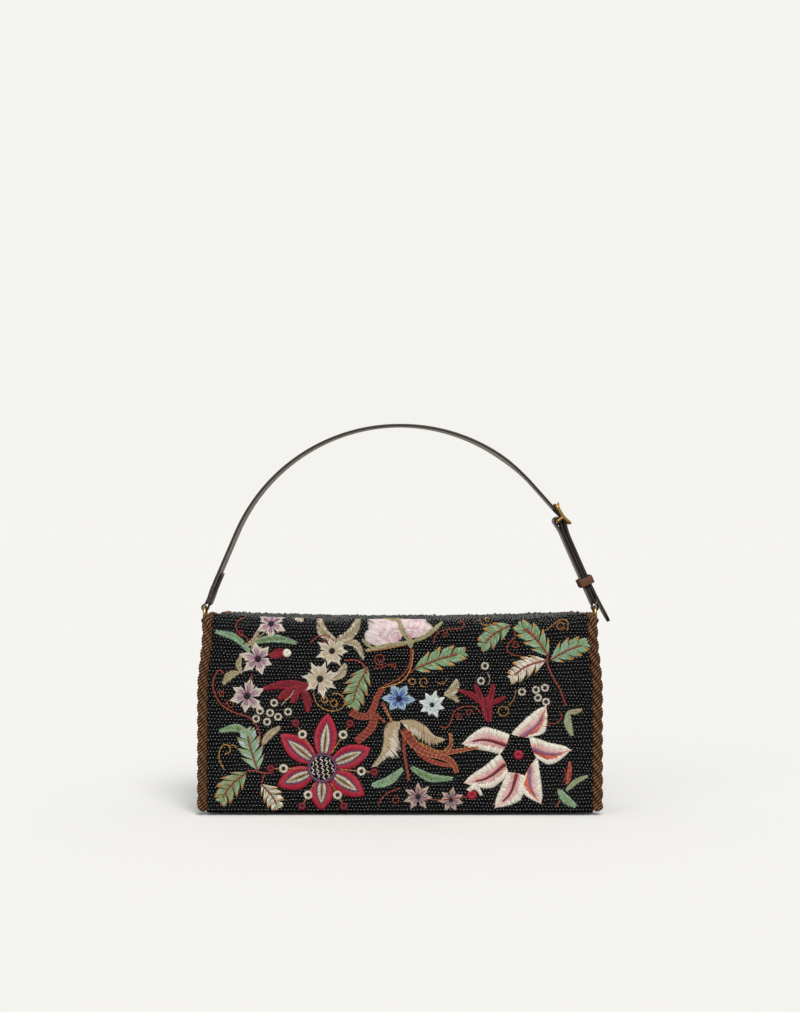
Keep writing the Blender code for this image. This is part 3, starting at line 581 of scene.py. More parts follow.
def skin(s, out=0.0):
    """Y and Z of points s up from the flap's hem, over the top and down the back, and out from that face."""
    s = np.asarray(s, float)
    out = np.broadcast_to(out, s.shape)
    a = s - FRONT_RUN
    b = a - BEND_RUN
    c = b - TOP_RUN
    d = c - BEND_RUN
    where = [a < 0, b < 0, c < 0, d < 0]
    wide, low = BEND + out, FLAP_TOP_Z - BEND
    front, back = FACE_Y + BEND, BACK_Y - BEND
    y = [FACE_Y - out, front - wide * np.cos(a / BEND), front + b, back + wide * np.sin(c / BEND)]
    z = [HEM_Z + s, low + wide * np.sin(a / BEND), FLAP_TOP_Z + out, low + wide * np.cos(c / BEND)]
    return np.select(where, y, BACK_Y + out), np.select(where, z, low - d)


def rope_x(s):
    """How far out the rope's middle runs at s."""
    y, z = skin(s)
    climb = ROPE_X_LOW + (ROPE_X_HIGH - ROPE_X_LOW) * eased((z - ROPE_CLIMB_Z) / (FOLD_Z - ROPE_CLIMB_Z))
    climb = np.where(np.asarray(s) > FRONT_RUN, ROPE_X_HIGH, climb)
    inwards = eased((y - CORNER_Y) / (WAIST_FRONT_Y - CORNER_Y))
    flare = BACK_FLARE * eased((y - WAIST_BACK_Y) / (BACK_Y - WAIST_BACK_Y))
    return climb + (WAIST_X - climb) * inwards + flare


def edge_x(s):
    """Half the width of the cloth between the ropes at s."""
    step = 0.2 * MM
    slant = (rope_x(np.asarray(s) + step) - rope_x(np.asarray(s) - step)) / (2 * step)
    return rope_x(s) - ROPE_SEAT * np.hypot(1, slant)


def sink(x, z):
    """How far the cloth sinks at x, less and less towards the stiff ends and down the front."""
    return SAG * np.clip(1 - (x / (HALF_BODY - 6 * MM)) ** 2, 0, 1) * eased((z - 72 * MM) / (60 * MM))


def sagged(x, s, z):
    """Heights of the flap with its middle sunk a little, as soft cloth between two stiff ends."""
    past_top = s - FRONT_RUN - BEND_RUN
    back = 1 - eased((past_top - TOP_RUN) / (HINGE_S - FRONT_RUN - BEND_RUN - TOP_RUN))
    corner = eased((np.abs(x) - 100 * MM) / (14 * MM)) * eased((z - 118 * MM) / (14 * MM))
    return z - sink(x, z) * back + CORNER_LIFT * corner * (1 - eased(past_top / (9 * MM)))


def on_skin(points):
    """Turns (x, s, out) into places in space."""
    x, s, out = points.T
    y, z = skin(s, out)
    return np.stack([x, y, sagged(x, s, z)], -1)


def outward_at(s, out=0.0):
    """The way out of the flap's face at s."""
    (y, z), (far_y, far_z) = skin(s, out), skin(s, out + 1 * MM)
    return np.stack([np.zeros(len(s)), far_y - y, far_z - z], -1)


def fold_blend(obj):
    """Bakes the piece's placement into its mesh; the places on either side of the fold are worked out but not used."""
    y_from, z_from = skin(FOLD_S + FOLD_REACH)
    y_to, z_to = skin(FOLD_S - FOLD_REACH)
    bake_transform(obj)


# ---- embroidery ----

CREAM = tint(226, 216, 196)
IVORY = tint(238, 230, 214)
BEIGE = tint(196, 172, 136)
CRIMSON = tint(168, 16, 46)
DEEP_RED = tint(120, 14, 28)
WINE = tint(128, 34, 52)
PLUM = tint(122, 74, 108)
LILAC = tint(150, 108, 138)
MAUVE = tint(140, 84, 122)
PINK = tint(228, 190, 196)
ROSE = tint(206, 150, 164)
CORAL = tint(226, 112, 84)
PEACH = tint(236, 176, 150)
RUST = tint(160, 74, 52)
BRICK = tint(158, 62, 46)
OCHRE = tint(186, 132, 70)
GOLD_THREAD = tint(168, 118, 58)
STRAW = tint(206, 150, 78)
LEAF = tint(128, 164, 112)
SAGE = tint(156, 178, 140)
MINT = tint(150, 186, 158)
MOSS = tint(112, 128, 74)
OLIVE = tint(168, 162, 118)
SAND = tint(190, 170, 138)
PALE_BLUE = tint(192, 206, 208)
INK = tint(22, 22, 26)


def evened(line):
    """The same line with its points spread evenly along it."""
    at = np.concatenate([[0], np.cumsum(lengths(np.diff(line, axis=0)))])
    where = np.linspace(0, at[-1], 48)
    return np.stack([np.interp(where, at, line[:, k]) for k in (0, 1)], -1)


def along_line(line, t):
    place = min(max(t, 0), 1) * (len(line) - 1)
    i = min(int(place), len(line) - 2)
    return line[i] + (line[i + 1] - line[i]) * (place - i)


def shade_at(colour, t):
    if not isinstance(colour[0], (list, tuple)):
        return colour
    return [float(x) for x in along_line(np.array(colour, float), t)]


def heading(angle):
    return np.array((math.cos(angle), math.sin(angle)))


def crosswise(way):
    return np.array((-way[1], way[0])) / (np.linalg.norm(way) + 1e-12)


def spiral(centre, radius, start_deg, turns, hand, inner=0.3):
    steps = max(6, int(abs(turns) * 10))
    return [
        centre + radius * (1 - (1 - inner) * t) * heading(math.radians(start_deg) + hand * 2 * math.pi * turns * t)
        for t in (i / steps for i in range(steps + 1))
    ]


class Needlework:
    """Stitches in photo pixels: x to the right and y down; half-widths, heights and lifts are in millimetres."""

    def __init__(self, seed):
        self.rows = []
        self.rng = np.random.default_rng(seed)

    def stitch(self, a, b, first, last, wide, high, lift=0.0):
        last = first if last is None else last
        shade = 1 + self.rng.normal(0, 0.13)
        self.rows.append((*a, *b, *(c * shade for c in first), *(c * shade for c in last), wide, high, lift))

    def pair(self, a, b, near, far, at, over, size, lift, step):
        """Two threads from a to b that pass each other, by the shares in over, at a share of the way."""
        self.stitch(a, a + (b - a) * (at + over[0]), near, None, *size, lift)
        self.stitch(a + (b - a) * (at - over[1]), b, far, None, *size, lift + step)

    def rank(self, line_a, line_b, first, last, slant, pitch, wide=0.37, high=0.36, lift=0.0, ragged=0.0, split=0.0):
        """Satin stitches from one line across to another; a split breaks each into two threads."""
        line_a, line_b = (evened(spline(line, pieces=8)) for line in (line_a, line_b))
        count = max(3, int(max(lengths(np.diff(line, axis=0)).sum() for line in (line_a, line_b)) / pitch))
        for i in range(count + 1):
            t = i / count
            far = min(1, max(0, t + slant + self.rng.normal(0, 0.004)))
            a, b = along_line(line_a, t), along_line(line_b, far)
            b = b + (b - a) * self.rng.normal(0, ragged)
            near, there = shade_at(first, t), shade_at(last, t)
            if split:
                at = split + self.rng.uniform(-0.14, 0.14)
                self.pair(a, b, near, there, at, (0.08, 0.08), (wide, high), lift, 0.04)
            else:
                self.stitch(a, b, near, there, wide, high, lift)

    def stem(self, points, colour, wide, pitch=3.3, high=0.4, lift=0.12):
        """A cord of overlapping slanted stitches, as in stem stitch."""
        line = spline(points, pieces=8)
        length = lengths(np.diff(line, axis=0)).sum()
        count = max(2, int(length / (pitch * 0.62)))
        for i in range(count):
            t = i / count
            here, there = along_line(line, t), along_line(line, min(1, t + pitch / length))
            lean = crosswise(there - here) * wide * 0.3
            # Every other stitch is painted lighter and the ones between darker: lit and shaded copies of the one thread
            # colour, as painted light and shade along the cord.
            tone = [c * (1.30 if i % 2 else 0.62) for c in shade_at(colour, t)]
            self.stitch(here - lean, there + lean, tone, None, wide * PIXEL * 0.38, high, lift)

    def limb(self, points, start, end, colour, edge):
        """A tapering branch of cords side by side, outlined where asked."""
        line = spline(points, pieces=8)
        ahead = np.gradient(line, axis=0)
        side = np.stack([-ahead[:, 1], ahead[:, 0]], 1) / lengths(ahead)[:, None]
        side = side * np.linspace(start, end, len(line))[:, None]
        rows = max(1, round(start / 1.7))
        for k in range(rows):
            offset = 0 if rows == 1 else (k / (rows - 1) - 0.5) * min(0.8, (rows - 1) * 1.75 / start)
            self.stem(line + side * offset, colour, 1.9, lift=0.1)
        if edge is not None:
            for hand in (-0.5, 0.5):
                self.stem(line + side * hand, edge, 1.5, lift=0.2)

    def ring(self, centre, radius, colour, core, pitch=1.1, wide=0.34, high=0.42, lift=0.0):
        """Stitches out from a small hole, as round an eyelet."""
        count = max(8, int(2 * math.pi * radius / pitch))
        for i in range(count):
            way = heading(2 * math.pi * (i + self.rng.uniform(-0.2, 0.2)) / count) * radius
            self.stitch(centre + way * core, centre + way, colour, None, wide, high, lift)

    def leaf(self, base, tip, half, inner, outer, bend=0.0, teeth=0, tips=None, rib=None, lift=0.0):
        """A leaf of long and short stitches slanting forward from its rib, with toothed edges where asked."""
        base, tip = np.asarray(base, float), np.asarray(tip, float)
        way = tip - base
        length, side = np.linalg.norm(way), crosswise(way)
        middle = spline([base, base + way * 0.5 + side * bend, tip], pieces=12)
        count = max(8, int(length / (0.8 if teeth else 0.95)))
        slant = half / length * (0.62 if teeth else 0.7)
        for hand in (-1, 1):
            for i in range(count + 1):
                t = i / count
                wide = half * math.sin(math.pi * min(1, t * 0.78 + 0.16)) ** 0.65
                phase = (t * teeth + (0.4 if hand > 0 else 0)) % 1
                if teeth:
                    wide *= 1 - 0.32 * (1 - phase) ** 1.2
                a = along_line(middle, t * 0.94) - side * hand * 0.5
                b = along_line(middle, min(1, t + slant * (1 - 0.6 * t))) + side * hand * wide
                b = b + self.rng.normal(0, 0.25, 2)
                near = inner[self.rng.integers(len(inner))]
                far = outer[self.rng.integers(len(outer))]
                at = self.rng.uniform(0.42, 0.62)
                if tips is not None and phase > 0.7:
                    far, at = tips, at + 0.16
                if wide > 4:
                    self.pair(a, b, near, far, at, (0.12, 0.10), (0.33, 0.32), lift, 0.05)
                else:
                    self.stitch(a, b, near, far, 0.33, 0.32, lift)
        if rib is not None:
            self.stem(middle[: int(len(middle) * 0.84)], rib, 2.1, high=0.5, lift=0.45)

    def petal(self, base, tip, half, inner, outer, blunt):
        """A narrow petal of fine stitches that part from its base and meet at its tip."""
        way = tip - base
        side = crosswise(way) * half
        count = max(7, int(half * 3.4))
        middling = [(x + y) / 2 for x, y in zip(inner, outer)]
        for i in range(count):
            k = (i / (count - 1)) * 2 - 1
            a = base + side * 0.3 * k
            m = base + way * 0.52 + side * k
            b = base + way * (1 - (0.26 - 0.16 * blunt) * abs(k) ** 1.4) + side * (0.14 + blunt * 0.7) * k
            rim = abs(k) > 0.76
            between = outer if rim or i // 2 % 2 else inner
            self.stitch(a, m + (m - a) * 0.22, middling if rim else inner, between, 0.29, 0.28)
            self.stitch(m - (m - a) * 0.24, b, between, outer, 0.29, 0.28, 0.03)

    def star(self, centre, radius, points, inner, outer, turn, half, blunt):
        for i in range(points):
            way = heading(math.radians(turn) + 2 * math.pi * i / points + self.rng.normal(0, 0.07)) * radius
            tip = centre + way * (1 + self.rng.normal(0, 0.07))
            self.petal(centre + way * 0.12, tip, radius * half, inner, outer, blunt)
        self.ring(centre, radius * 0.15, INK, 0.1, wide=0.45, high=0.5, lift=0.5)


def sew_great_flower(work):
    """The six-petal crimson flower, with its inner leaves, latticed disc and stamens."""
    middle = np.array((322.5, 768.0))
    for tip in ((328, 713), (371, 748), (365, 796), (321, 811), (277, 786), (280, 734)):
        way = tip - middle
        reach = np.linalg.norm(way) - 13
        way /= reach + 13
        side, root = crosswise(way), middle + way * 13

        def outline(width, top, start=0.0, root=root, way=way, side=side, reach=reach):
            t = np.linspace(0, 1, 13)[:, None]
            spread = width * np.sin(math.pi * np.minimum(0.14 + t * 0.86, 1)).clip(0) ** 0.8
            return root + way * (start + (top - start) * t) * reach + side * spread

        for hand in (-1, 1):
            edge, rib = outline(4.6 * hand, 0.78), outline(0.25 * hand, 0.74, 0.06)
            work.rank(edge, outline(12.0 * hand, 1.0), CRIMSON, tint(188, 30, 58), 0.0, 1.0, 0.42, 0.44)
            work.rank(rib, outline(4.7 * hand, 0.74, 0.02), BEIGE, IVORY, 0.07, 1.0, 0.34, 0.4, lift=0.15)
            work.stem(outline(5.2 * hand, 0.79, 0.01), PLUM, 1.5, high=0.42, lift=0.35)
            work.stem(outline(0.9 * hand, 0.62, 0.08), tint(170, 142, 100), 1.1, 1.9, lift=0.45)
    work.ring(middle, 15.2, PLUM, 0.88, pitch=1.0, high=0.7, lift=0.4)
    work.ring(middle, 13.6, LILAC, 0.90, pitch=1.0, high=0.5, lift=0.45)
    for column_number in range(-2, 3):
        points = []
        for row in range(-6, 7):
            x = column_number * 5.0 + (1.5 if row % 2 else -1.5) + row * 0.35
            y = row * 2.3 + (column_number % 2) * 1.0
            if math.hypot(x, y) < 12.4:
                points.append(middle + (x, y))
        for a, b in zip(points, points[1:]):
            work.stitch(a, b, IVORY, None, 0.34, 0.34, 0.3)
        for a, b in zip(points[1::3], points[2::3]):
            work.stitch((a + b) / 2 + (1.9, 0), (a + b) / 2 + (3.1, 0.3), BRICK, None, 0.34, 0.34, 0.3)
    for angle in (-58, 5, 61, 118, 179, 239):
        way = heading(math.radians(angle))
        reach = min(52, 38.5 / max(0.1, way[1]))
        eyelet = middle + way * (reach - 13)
        work.stem([middle + way * 16, middle + way * (reach - 2)], GOLD_THREAD, 2.0)
        work.ring(eyelet, 4.8, CREAM, 0.38, pitch=1.1, high=0.5, lift=0.3)
        work.ring(eyelet, 1.9, INK, 0.1, wide=0.4, high=0.4, lift=0.5)
        work.ring(middle + way * reach, 4.4, DEEP_RED, 0.1, pitch=1.0, wide=0.4, high=0.55, lift=0.3)


def sew_lily(work):
    """The cream and pink lily with its striped petals; its beaded heart is left open."""
    heart, disc = np.array((518.5, 755.0)), np.array((14.6, 18.6))

    def on_disc(degrees, out=0.0):
        return heart + heading(math.radians(degrees)) * (disc + out)

    for angle, tip, left, right, strip, second, bend in (
        (-80, (546, 706), 13, 11, CRIMSON, LILAC, -5),
        (-20, (571, 750), 12, 11, CRIMSON, LILAC, -5),
        (40, (541, 804), 12, 12, CORAL, LILAC, -5),
        (97, (495, 808), 13, 12, WINE, None, 5),
        (152, (464, 783), 12, 12, WINE, None, 5),
        (212, (462, 744), 12, 13, WINE, None, -5),
    ):
        root = on_disc(angle)
        way = tip - root
        side = -crosswise(way)
        middle = spline([root, root + way * 0.5 + side * bend, tip], pieces=8)
        for hand, half in ((1, left), (-1, right)):
            edge = [on_disc(angle - hand * 29), on_disc(angle - hand * 31, 5)]
            for t, wide in ((0.42, 1.0), (0.62, 0.86), (0.84, 0.48), (1.0, 0.0)):
                edge.append(along_line(middle, t) + side * hand * half * wide)
            core = [(p + along_line(middle, t)) / 2 for p, t in zip(edge, (0.0, 0.14, 0.42, 0.62, 0.84, 1.0))]
            warm = second is not None and hand < 0
            near = [CORAL, CORAL, PEACH] if warm else [PEACH, PINK, IVORY]
            streak = [strip, CORAL, PEACH] if warm else [ROSE, PEACH, PINK]
            work.rank(middle, edge, near, [IVORY, IVORY, IVORY], 0.10, 0.85, 0.46, 0.42, ragged=0.015, split=0.45)
            work.rank(middle, core, streak, streak, 0.14, 1.9, 0.3, 0.36, lift=0.3, ragged=0.25)
            if warm:
                near, far = [strip, strip, CORAL], [strip, CORAL, CORAL]
                work.rank(middle[:8], core[:3], near, far, 0.2, 1.0, 0.36, 0.36, lift=0.42, ragged=0.2)
        taper = side * np.linspace(2.3, 2.3 * 0.35, 14)[:, None]
        colour = strip if second is None else second
        near, far = (middle[:14] + taper)[::3], (middle[:14] - taper)[::3]
        work.rank(near, far, colour, colour, 0.06, 1.0, 0.38, 0.42, lift=0.65)
    work.ring(heart, 5.2, CRIMSON, 0.05, pitch=0.9, wide=0.45, high=0.6, lift=0.6)


def sew_peony(work):
    """The pale pink peony at the top edge, worked in two lobes of scalloped fans, with green-gold leaf edges."""
    pale, deep = tint(240, 226, 222), tint(208, 152, 172)
    for centre, outline, radii in (
        ((400, 641), ((166, 0.56), (178, 0.84), (196, 1), (232, 0.96), (290, 0.8)), (41, 32, 23, 14)),
        ((409, 638), ((246, 0.86), (315, 1.08), (337, 1), (352, 0.5)), (27, 19, 11)),
    ):
        start, end = outline[0][0], outline[-1][0]
        for number, radius in enumerate(radii):
            count = int(math.radians(end - start) * radius / 1.0)
            for i in range(count + 1):
                degrees = start + (end - start) * i / count
                angle = math.radians(degrees)
                reach = radius * float(np.interp(degrees, *zip(*outline)))
                reach *= 0.84 + 0.16 * abs(math.sin(angle * (4.5 - number) + number * 1.7))
                root, mid, tip = (
                    np.maximum(centre + heading(angle) * reach * share, (0, 615.2))
                    for share in (0.05 if radius < 15 else 0.45, 0.74, 1)
                )
                blush = work.rng.uniform(0, 0.5)
                between = [x * blush + y * (1 - blush) for x, y in zip(deep, pale)]
                work.stitch(root, mid + (mid - root) * 0.3, deep, between, 0.38, 0.36, 0.12 * number)
                work.stitch(mid - (tip - mid) * 0.4, tip, between, pale, 0.38, 0.36, 0.12 * number + 0.04)
    for base, tip, half, bend, lift in (
        ((412, 642), (365, 650.5), 2.8, 1, 0.7),
        ((373, 648), (362, 639), 1.9, -1, 0.72),
        ((410, 643), (443, 622.5), 2.8, 2, 0.7),
        ((411, 642), (397, 618), 3.1, -1.5, 0.8),
        ((400, 621), (383, 618), 1.5, -1, 0.75),
        ((411, 648), (409, 637), 3.4, 0, 0.85),
    ):
        work.leaf(base, tip, half, [SAGE, OLIVE], [OCHRE, OLIVE, SAND], bend, 0, lift=lift)
    work.stem([(366, 651.5), (384, 649), (404, 645)], OCHRE, 1.4, lift=0.8)


def sew_small_flowers(work):
    for centre, radius, points, inner, outer, turn, half, blunt in (
        ((271, 624), 17, 6, MAUVE, CREAM, 32, 0.25, 0.3),
        ((258, 659), 18.5, 6, MAUVE, CREAM, 20, 0.25, 0.3),
        ((247, 696), 19.5, 6, MAUVE, CREAM, 38, 0.24, 0.25),
        ((418, 797), 15, 7, tint(112, 72, 104), tint(206, 180, 156), 8, 0.19, 0.3),
        ((451, 800), 13.5, 7, tint(112, 72, 104), tint(206, 180, 156), 20, 0.19, 0.3),
        ((332, 651), 18, 7, SAND, CREAM, 5, 0.22, 0.1),
        ((320, 679), 20, 7, SAND, CREAM, -18, 0.22, 0.1),
        ((399, 699), 16, 6, tint(26, 70, 158), tint(168, 194, 206), 4, 0.27, 0.5),
        ((432, 705), 13.5, 8, tint(178, 198, 200), tint(222, 228, 220), 15, 0.22, 0.45),
    ):
        work.star(centre, radius, points, inner, outer, turn, half, blunt)
    for centre in (
        (274, 703), (270, 713), (278, 717), (267, 722), (288, 712), (256, 719), (260, 711),
        (485, 666), (481, 681), (522, 692), (536, 690), (538, 698), (545, 688), (546, 702),
    ):
        work.ring(centre, 4.3, CREAM, 0.42, pitch=1.3, high=0.42)
        work.ring(centre, 1.6, INK, 0.1, wide=0.34, high=0.3, lift=0.3)
    work.stem([(281, 706), (286, 700), (291, 696), (294, 690)], SAND, 1.5, lift=0.6)
    # Crimson bell and tulip
    reds = [DEEP_RED, tint(142, 8, 34)]
    for base, tip, half, bend in (
        ((310, 686), (262, 689), 4.6, 3), ((308, 687), (278, 699), 5.6, 2), ((302, 688), (308, 712), 4.6, -2),
        ((298, 689), (292, 703), 4.4, 0), ((489, 723), (485, 697), 5.6, 0), ((484, 708), (475, 684), 3.4, 0),
        ((488, 708), (494, 684), 3.6, 0), ((482, 704), (459, 690), 3.2, 2), ((489, 705), (506, 697), 3.0, 0),
    ):
        work.leaf(base, tip, half, reds, [CRIMSON, tint(150, 8, 38)], bend)
    # Buds with cream tips
    work.leaf((269, 656), (286, 652), 5.4, [CRIMSON], reds)
    work.ring((287, 653), 4.6, IVORY, 0.05, wide=0.4, high=0.45, lift=0.3)
    work.ring((472, 795), 5.4, CRIMSON, 0.05, wide=0.4, high=0.45)
    upper, lower = [(466, 789), (472, 785), (479, 787), (483, 794)], [(471, 792), (474, 790), (477, 792), (480, 796)]
    work.rank(upper, lower, IVORY, CREAM, 0, 1.0, lift=0.4)


def sew_leaves(work):
    green, edges = [LEAF, SAGE, MOSS], [MINT, SAGE, LEAF]
    for base, tip, half, inner, outer, bend, teeth, tips in (
        ((258, 771), (246, 728), 13.5, [LEAF, MINT, SAGE], [MINT, SAGE, PALE_BLUE], -1, 4, OLIVE),
        ((247, 772), (219, 803), 13, [OLIVE, LEAF, MOSS], [OLIVE, SAGE], 3, 4, OCHRE),
        ((261, 784), (279, 809), 11, [IVORY, SAND, SAGE], [IVORY, CREAM, SAND], -2, 4, STRAW),
        ((368, 667), (352, 709), 14, green, [OLIVE, SAGE], 3, 4, OCHRE),
        ((414, 669), (467, 652), 12, green, edges, -2, 4, STRAW),
        ((511, 625), (480, 648), 12, green, edges, 3, 3, OCHRE),
        ((549, 656), (517, 624), 12.5, green, edges, 3, 4, STRAW),
        ((550, 660), (589, 643), 12, [LEAF, MINT, SAGE], edges, -2, 4, STRAW),
        ((546, 660), (509, 680), 12, [IVORY, SAND, CREAM], [IVORY, CREAM, SAND], 4, 4, STRAW),
    ):
        work.leaf(base, tip, half, inner, outer, bend, teeth, tips, BRICK)
    for base, tip, half, inner, outer, bend in (
        ((250, 652), (215, 632), 3.7, [LEAF, MINT], [SAGE, MINT], 5),
        ((253, 642), (297, 643), 4.2, [LEAF, MOSS], [MINT, SAGE], -4),
        ((371, 786), (403, 769), 4.8, [LEAF, SAGE], [MINT, SAGE], 4),
        ((410, 767), (453, 779), 4.4, [LEAF, MOSS], [SAGE, MINT], 5),
        ((252, 735), (219, 731), 4.2, [LEAF, MOSS], [MINT, SAGE], 5),
        ((262, 745), (280, 727), 4.0, [OLIVE, SAND], [SAND], -2),
        ((240, 672), (223, 684), 4.4, [OLIVE, SAND], [SAND, OLIVE], 3),
        ((242, 674), (241, 655), 3.2, [OLIVE], [SAND], -3),
        ((336, 641), (318, 618), 5.2, [OLIVE, SAND], [SAND, CREAM], -5),
        ((336, 641), (360, 618), 5.2, [OLIVE, SAND], [SAND, CREAM], 5),
        ((338, 642), (364, 659), 4.2, [OLIVE, SAND], [SAND, CREAM], -8),
        ((331, 680), (346, 664), 4.6, [OLIVE, SAND], [SAND, CREAM], 3),
        ((444, 696), (458, 680), 4.8, [OLIVE, SAND], [CREAM, SAND], 3),
        ((445, 695), (459, 702), 3.4, [OLIVE], [SAND], -2),
        ((568, 711), (572, 736), 4.2, [OLIVE, SAGE], [SAGE, SAND], 2),
        ((568, 712), (582, 710), 3.0, [OLIVE], [SAND], 1),
        ((558, 789), (576, 807), 4.6, [LEAF, SAGE], [MINT, SAGE], 2),
        ((566, 791), (588, 776), 3.0, [OLIVE], [SAGE], -2),
        ((567, 785), (570, 762), 2.6, [RUST, BRICK], [BRICK, CORAL], 1),
        ((293, 617), (303, 621), 3.0, [SAND], [CREAM], 0),
        ((245, 646), (258, 632), 3.4, [SAND, OLIVE], [BEIGE, SAND], 3),
    ):
        work.leaf(base, tip, half, inner, outer, bend)
    # Beige plumes beside the branch
    for near, far, ends, slant, ragged in (
        (
            [(400, 721), (390, 721), (384, 728), (383, 742), (380, 754), (371, 767)],
            [(401, 727), (398, 734), (399, 744), (397, 757), (388, 758), (378, 766)],
            [SAND, CREAM, SAND], 0.06, 0.08,
        ),
        (
            [(400, 720), (413, 719), (425, 725), (434, 735), (445, 739)],
            [(403, 724), (413, 735), (424, 743), (434, 746), (444, 741)],
            [CREAM, SAND, SAND], 0.10, 0.10,
        ),
    ):
        work.rank(near, far, [SAND, BEIGE, SAND], ends, slant, 1.0, 0.37, 0.4, ragged=ragged, split=0.5)


def sew_stems(work):
    """The branch in cords, then tendrils, stalks and curls."""
    warm, cool = [RUST, BRICK], [BRICK, RUST]
    for points, start, end, colour, edge in (
        ([(350, 711), (358, 716), (368, 716), (374, 707), (377, 697), (383, 688)], 7, 4.5, warm, RUST),
        ([(375, 712), (371, 728), (356, 742)], 8, 6.5, warm, RUST),
        ([(377, 716), (386, 723)], 4, 2.5, warm, None),
        ([(404, 728), (413, 743), (426, 752), (440, 756), (452, 762), (457, 773)], 9, 3.5, warm, OCHRE),
        ([(410, 740), (424, 757), (440, 764), (456, 766)], 6, 3, cool, None),
        ([(418, 745), (438, 753), (458, 751), (479, 747)], 5.5, 2, [BRICK, BRICK], OCHRE),
        ([(444, 753), (451, 745), (450, 733)], 4, 2, cool, OCHRE),
        ([(404, 732), (404, 750), (406, 764), (409, 781)], 4, 3, cool, None),
        ([(382, 702), (387, 712), (393, 724)], 3.4, 2.2, [RUST, OCHRE], None),
    ):
        work.limb(points, start, end, colour, edge)
    for points, colour, wide in (
        ([(383, 686), (397, 680), (406, 671), (410, 662), (411, 647)], BRICK, 2.3),
        ([(378, 689), (399, 683), (408, 674), (412, 662), (413, 649)], OCHRE, 2.1),
        ([(407, 675), (412, 671), (417, 668)], BRICK, 2.1),
        ([(549, 652), (547, 662), (552, 676), (560, 690), (566, 706)], BRICK, 2.4),
        ([(526, 628), (538, 640), (548, 656)], BRICK, 2.2),
        ([(344, 661), (354, 660), (363, 664), (367, 674)], BRICK, 2.4),
        ([(274, 772.5), (264, 773.5), (256, 771), (247, 771)], BRICK, 2.2),
        ([(264, 774), (262, 783)], BRICK, 2.2),
        (
            [(224, 674), (219, 670), (214, 678), (213, 688), (217, 699), (224, 707), (235, 713), (248, 717),
             (256, 725), (260, 736), (259, 746)], BRICK, 2.0,
        ),
        (spiral((221, 694), 4.5, 160, 1.2, 1), BRICK, 1.7),
        (spiral((230, 705), 5.5, 150, 1.2, 1), BRICK, 1.7),
        ([(252, 673), (250, 685)], BRICK, 2.0),
        ([(246, 618), (238, 622), (236, 629), (241, 635), (247, 638), (248, 645)], BRICK, 1.9),
        (spiral((240, 633), 4.5, 200, 1.1, -1), BRICK, 1.5),
        ([(250, 650), (256, 640), (264, 633)], SAND, 1.7),
        ([(278, 652), (268, 655)], BRICK, 1.8),
        ([(225, 771), (220, 762), (219, 753), (223, 745), (229, 746), (230, 752), (225, 754)], OCHRE, 1.9),
        ([(229, 746), (234, 745), (237, 749)], OCHRE, 1.5),
        ([(313, 692), (317, 704), (329, 711), (341, 709), (345, 701), (339, 694), (332, 694)], OCHRE, 1.8),
        (spiral((334, 703), 4.6, 0, 1.2, 1, 0.6), OCHRE, 1.6),
        (spiral((324, 700), 4.2, 90, 1.2, -1, 0.6), OCHRE, 1.6),
        ([(310, 643), (317, 637), (326, 635), (335, 641)], BRICK, 2.0),
        (spiral((325, 640), 3.6, 0, 1.2, 1), BRICK, 1.5),
        (spiral((380, 659), 7, 30, 1.5, 1), BRICK, 1.8),
        ([(373, 668), (382, 668), (390, 664), (396, 668)], BRICK, 1.6),
        (spiral((394, 665), 4, 250, 1.1, -1), BRICK, 1.4),
        ([(434, 645), (435, 636), (443, 630), (457, 629), (464, 627), (463, 622), (459, 623)], BRICK, 1.8),
        (spiral((446, 635), 4, 120, 1.2, 1), BRICK, 1.4),
        ([(480, 617), (482, 625), (494, 625), (500, 629)], GOLD_THREAD, 1.7),
        (spiral((487, 620), 4.4, 180, 1.1, 1), GOLD_THREAD, 1.5),
        ([(513, 631), (516, 636), (509, 643), (507, 650), (513, 655), (521, 656)], BRICK, 1.8),
        (spiral((515, 645), 4.6, 200, 1.3, 1), BRICK, 1.5),
        ([(545, 631), (552, 626), (561, 621), (568, 624), (567, 632)], GOLD_THREAD, 1.8),
        (spiral((560, 627), 4.8, 90, 1.2, -1, 0.5), GOLD_THREAD, 1.6),
        (spiral((412, 682), 4.2, 150, 1.2, 1, 0.6), OCHRE, 1.6),
        (spiral((424, 682), 5.4, 60, 1.0, 1, 0.5), OCHRE, 1.6),
        ([(436, 682), (443, 684), (448, 678)], OCHRE, 1.4),
        ([(439, 726), (446, 728), (451, 722), (454, 712), (463, 707), (475, 707), (480, 713)], BRICK, 1.9),
        (spiral((459, 717), 4.4, 200, 1.3, 1), BRICK, 1.5),
        (spiral((469, 713), 4.4, 20, 1.2, -1), BRICK, 1.5),
        ([(516, 689), (514, 699), (508, 706)], GOLD_THREAD, 1.6),
        (spiral((503, 711), 6, 300, 1.1, 1, 0.7), GOLD_THREAD, 1.7),
        (spiral((545, 722), 5.4, 0, 1.2, 1, 0.5), BRICK, 1.7),
        ([(550, 724), (557, 723), (562, 717), (559, 711)], BRICK, 1.7),
        ([(378, 806), (382, 798), (390, 792), (401, 788)], BRICK, 1.9),
        (spiral((395, 800), 5, 250, 1.2, 1), BRICK, 1.5),
        ([(425, 799), (440, 800), (468, 797)], BRICK, 1.7),
        ([(487, 672), (490, 679), (488, 685)], OLIVE, 1.6),
        ([(556, 808), (560, 800)], BRICK, 2.0),
        ([(563, 783), (566, 775), (564, 768)], BRICK, 1.8),
    ):
        work.stem(points, colour, wide if wide > 1.9 else wide * 0.86)


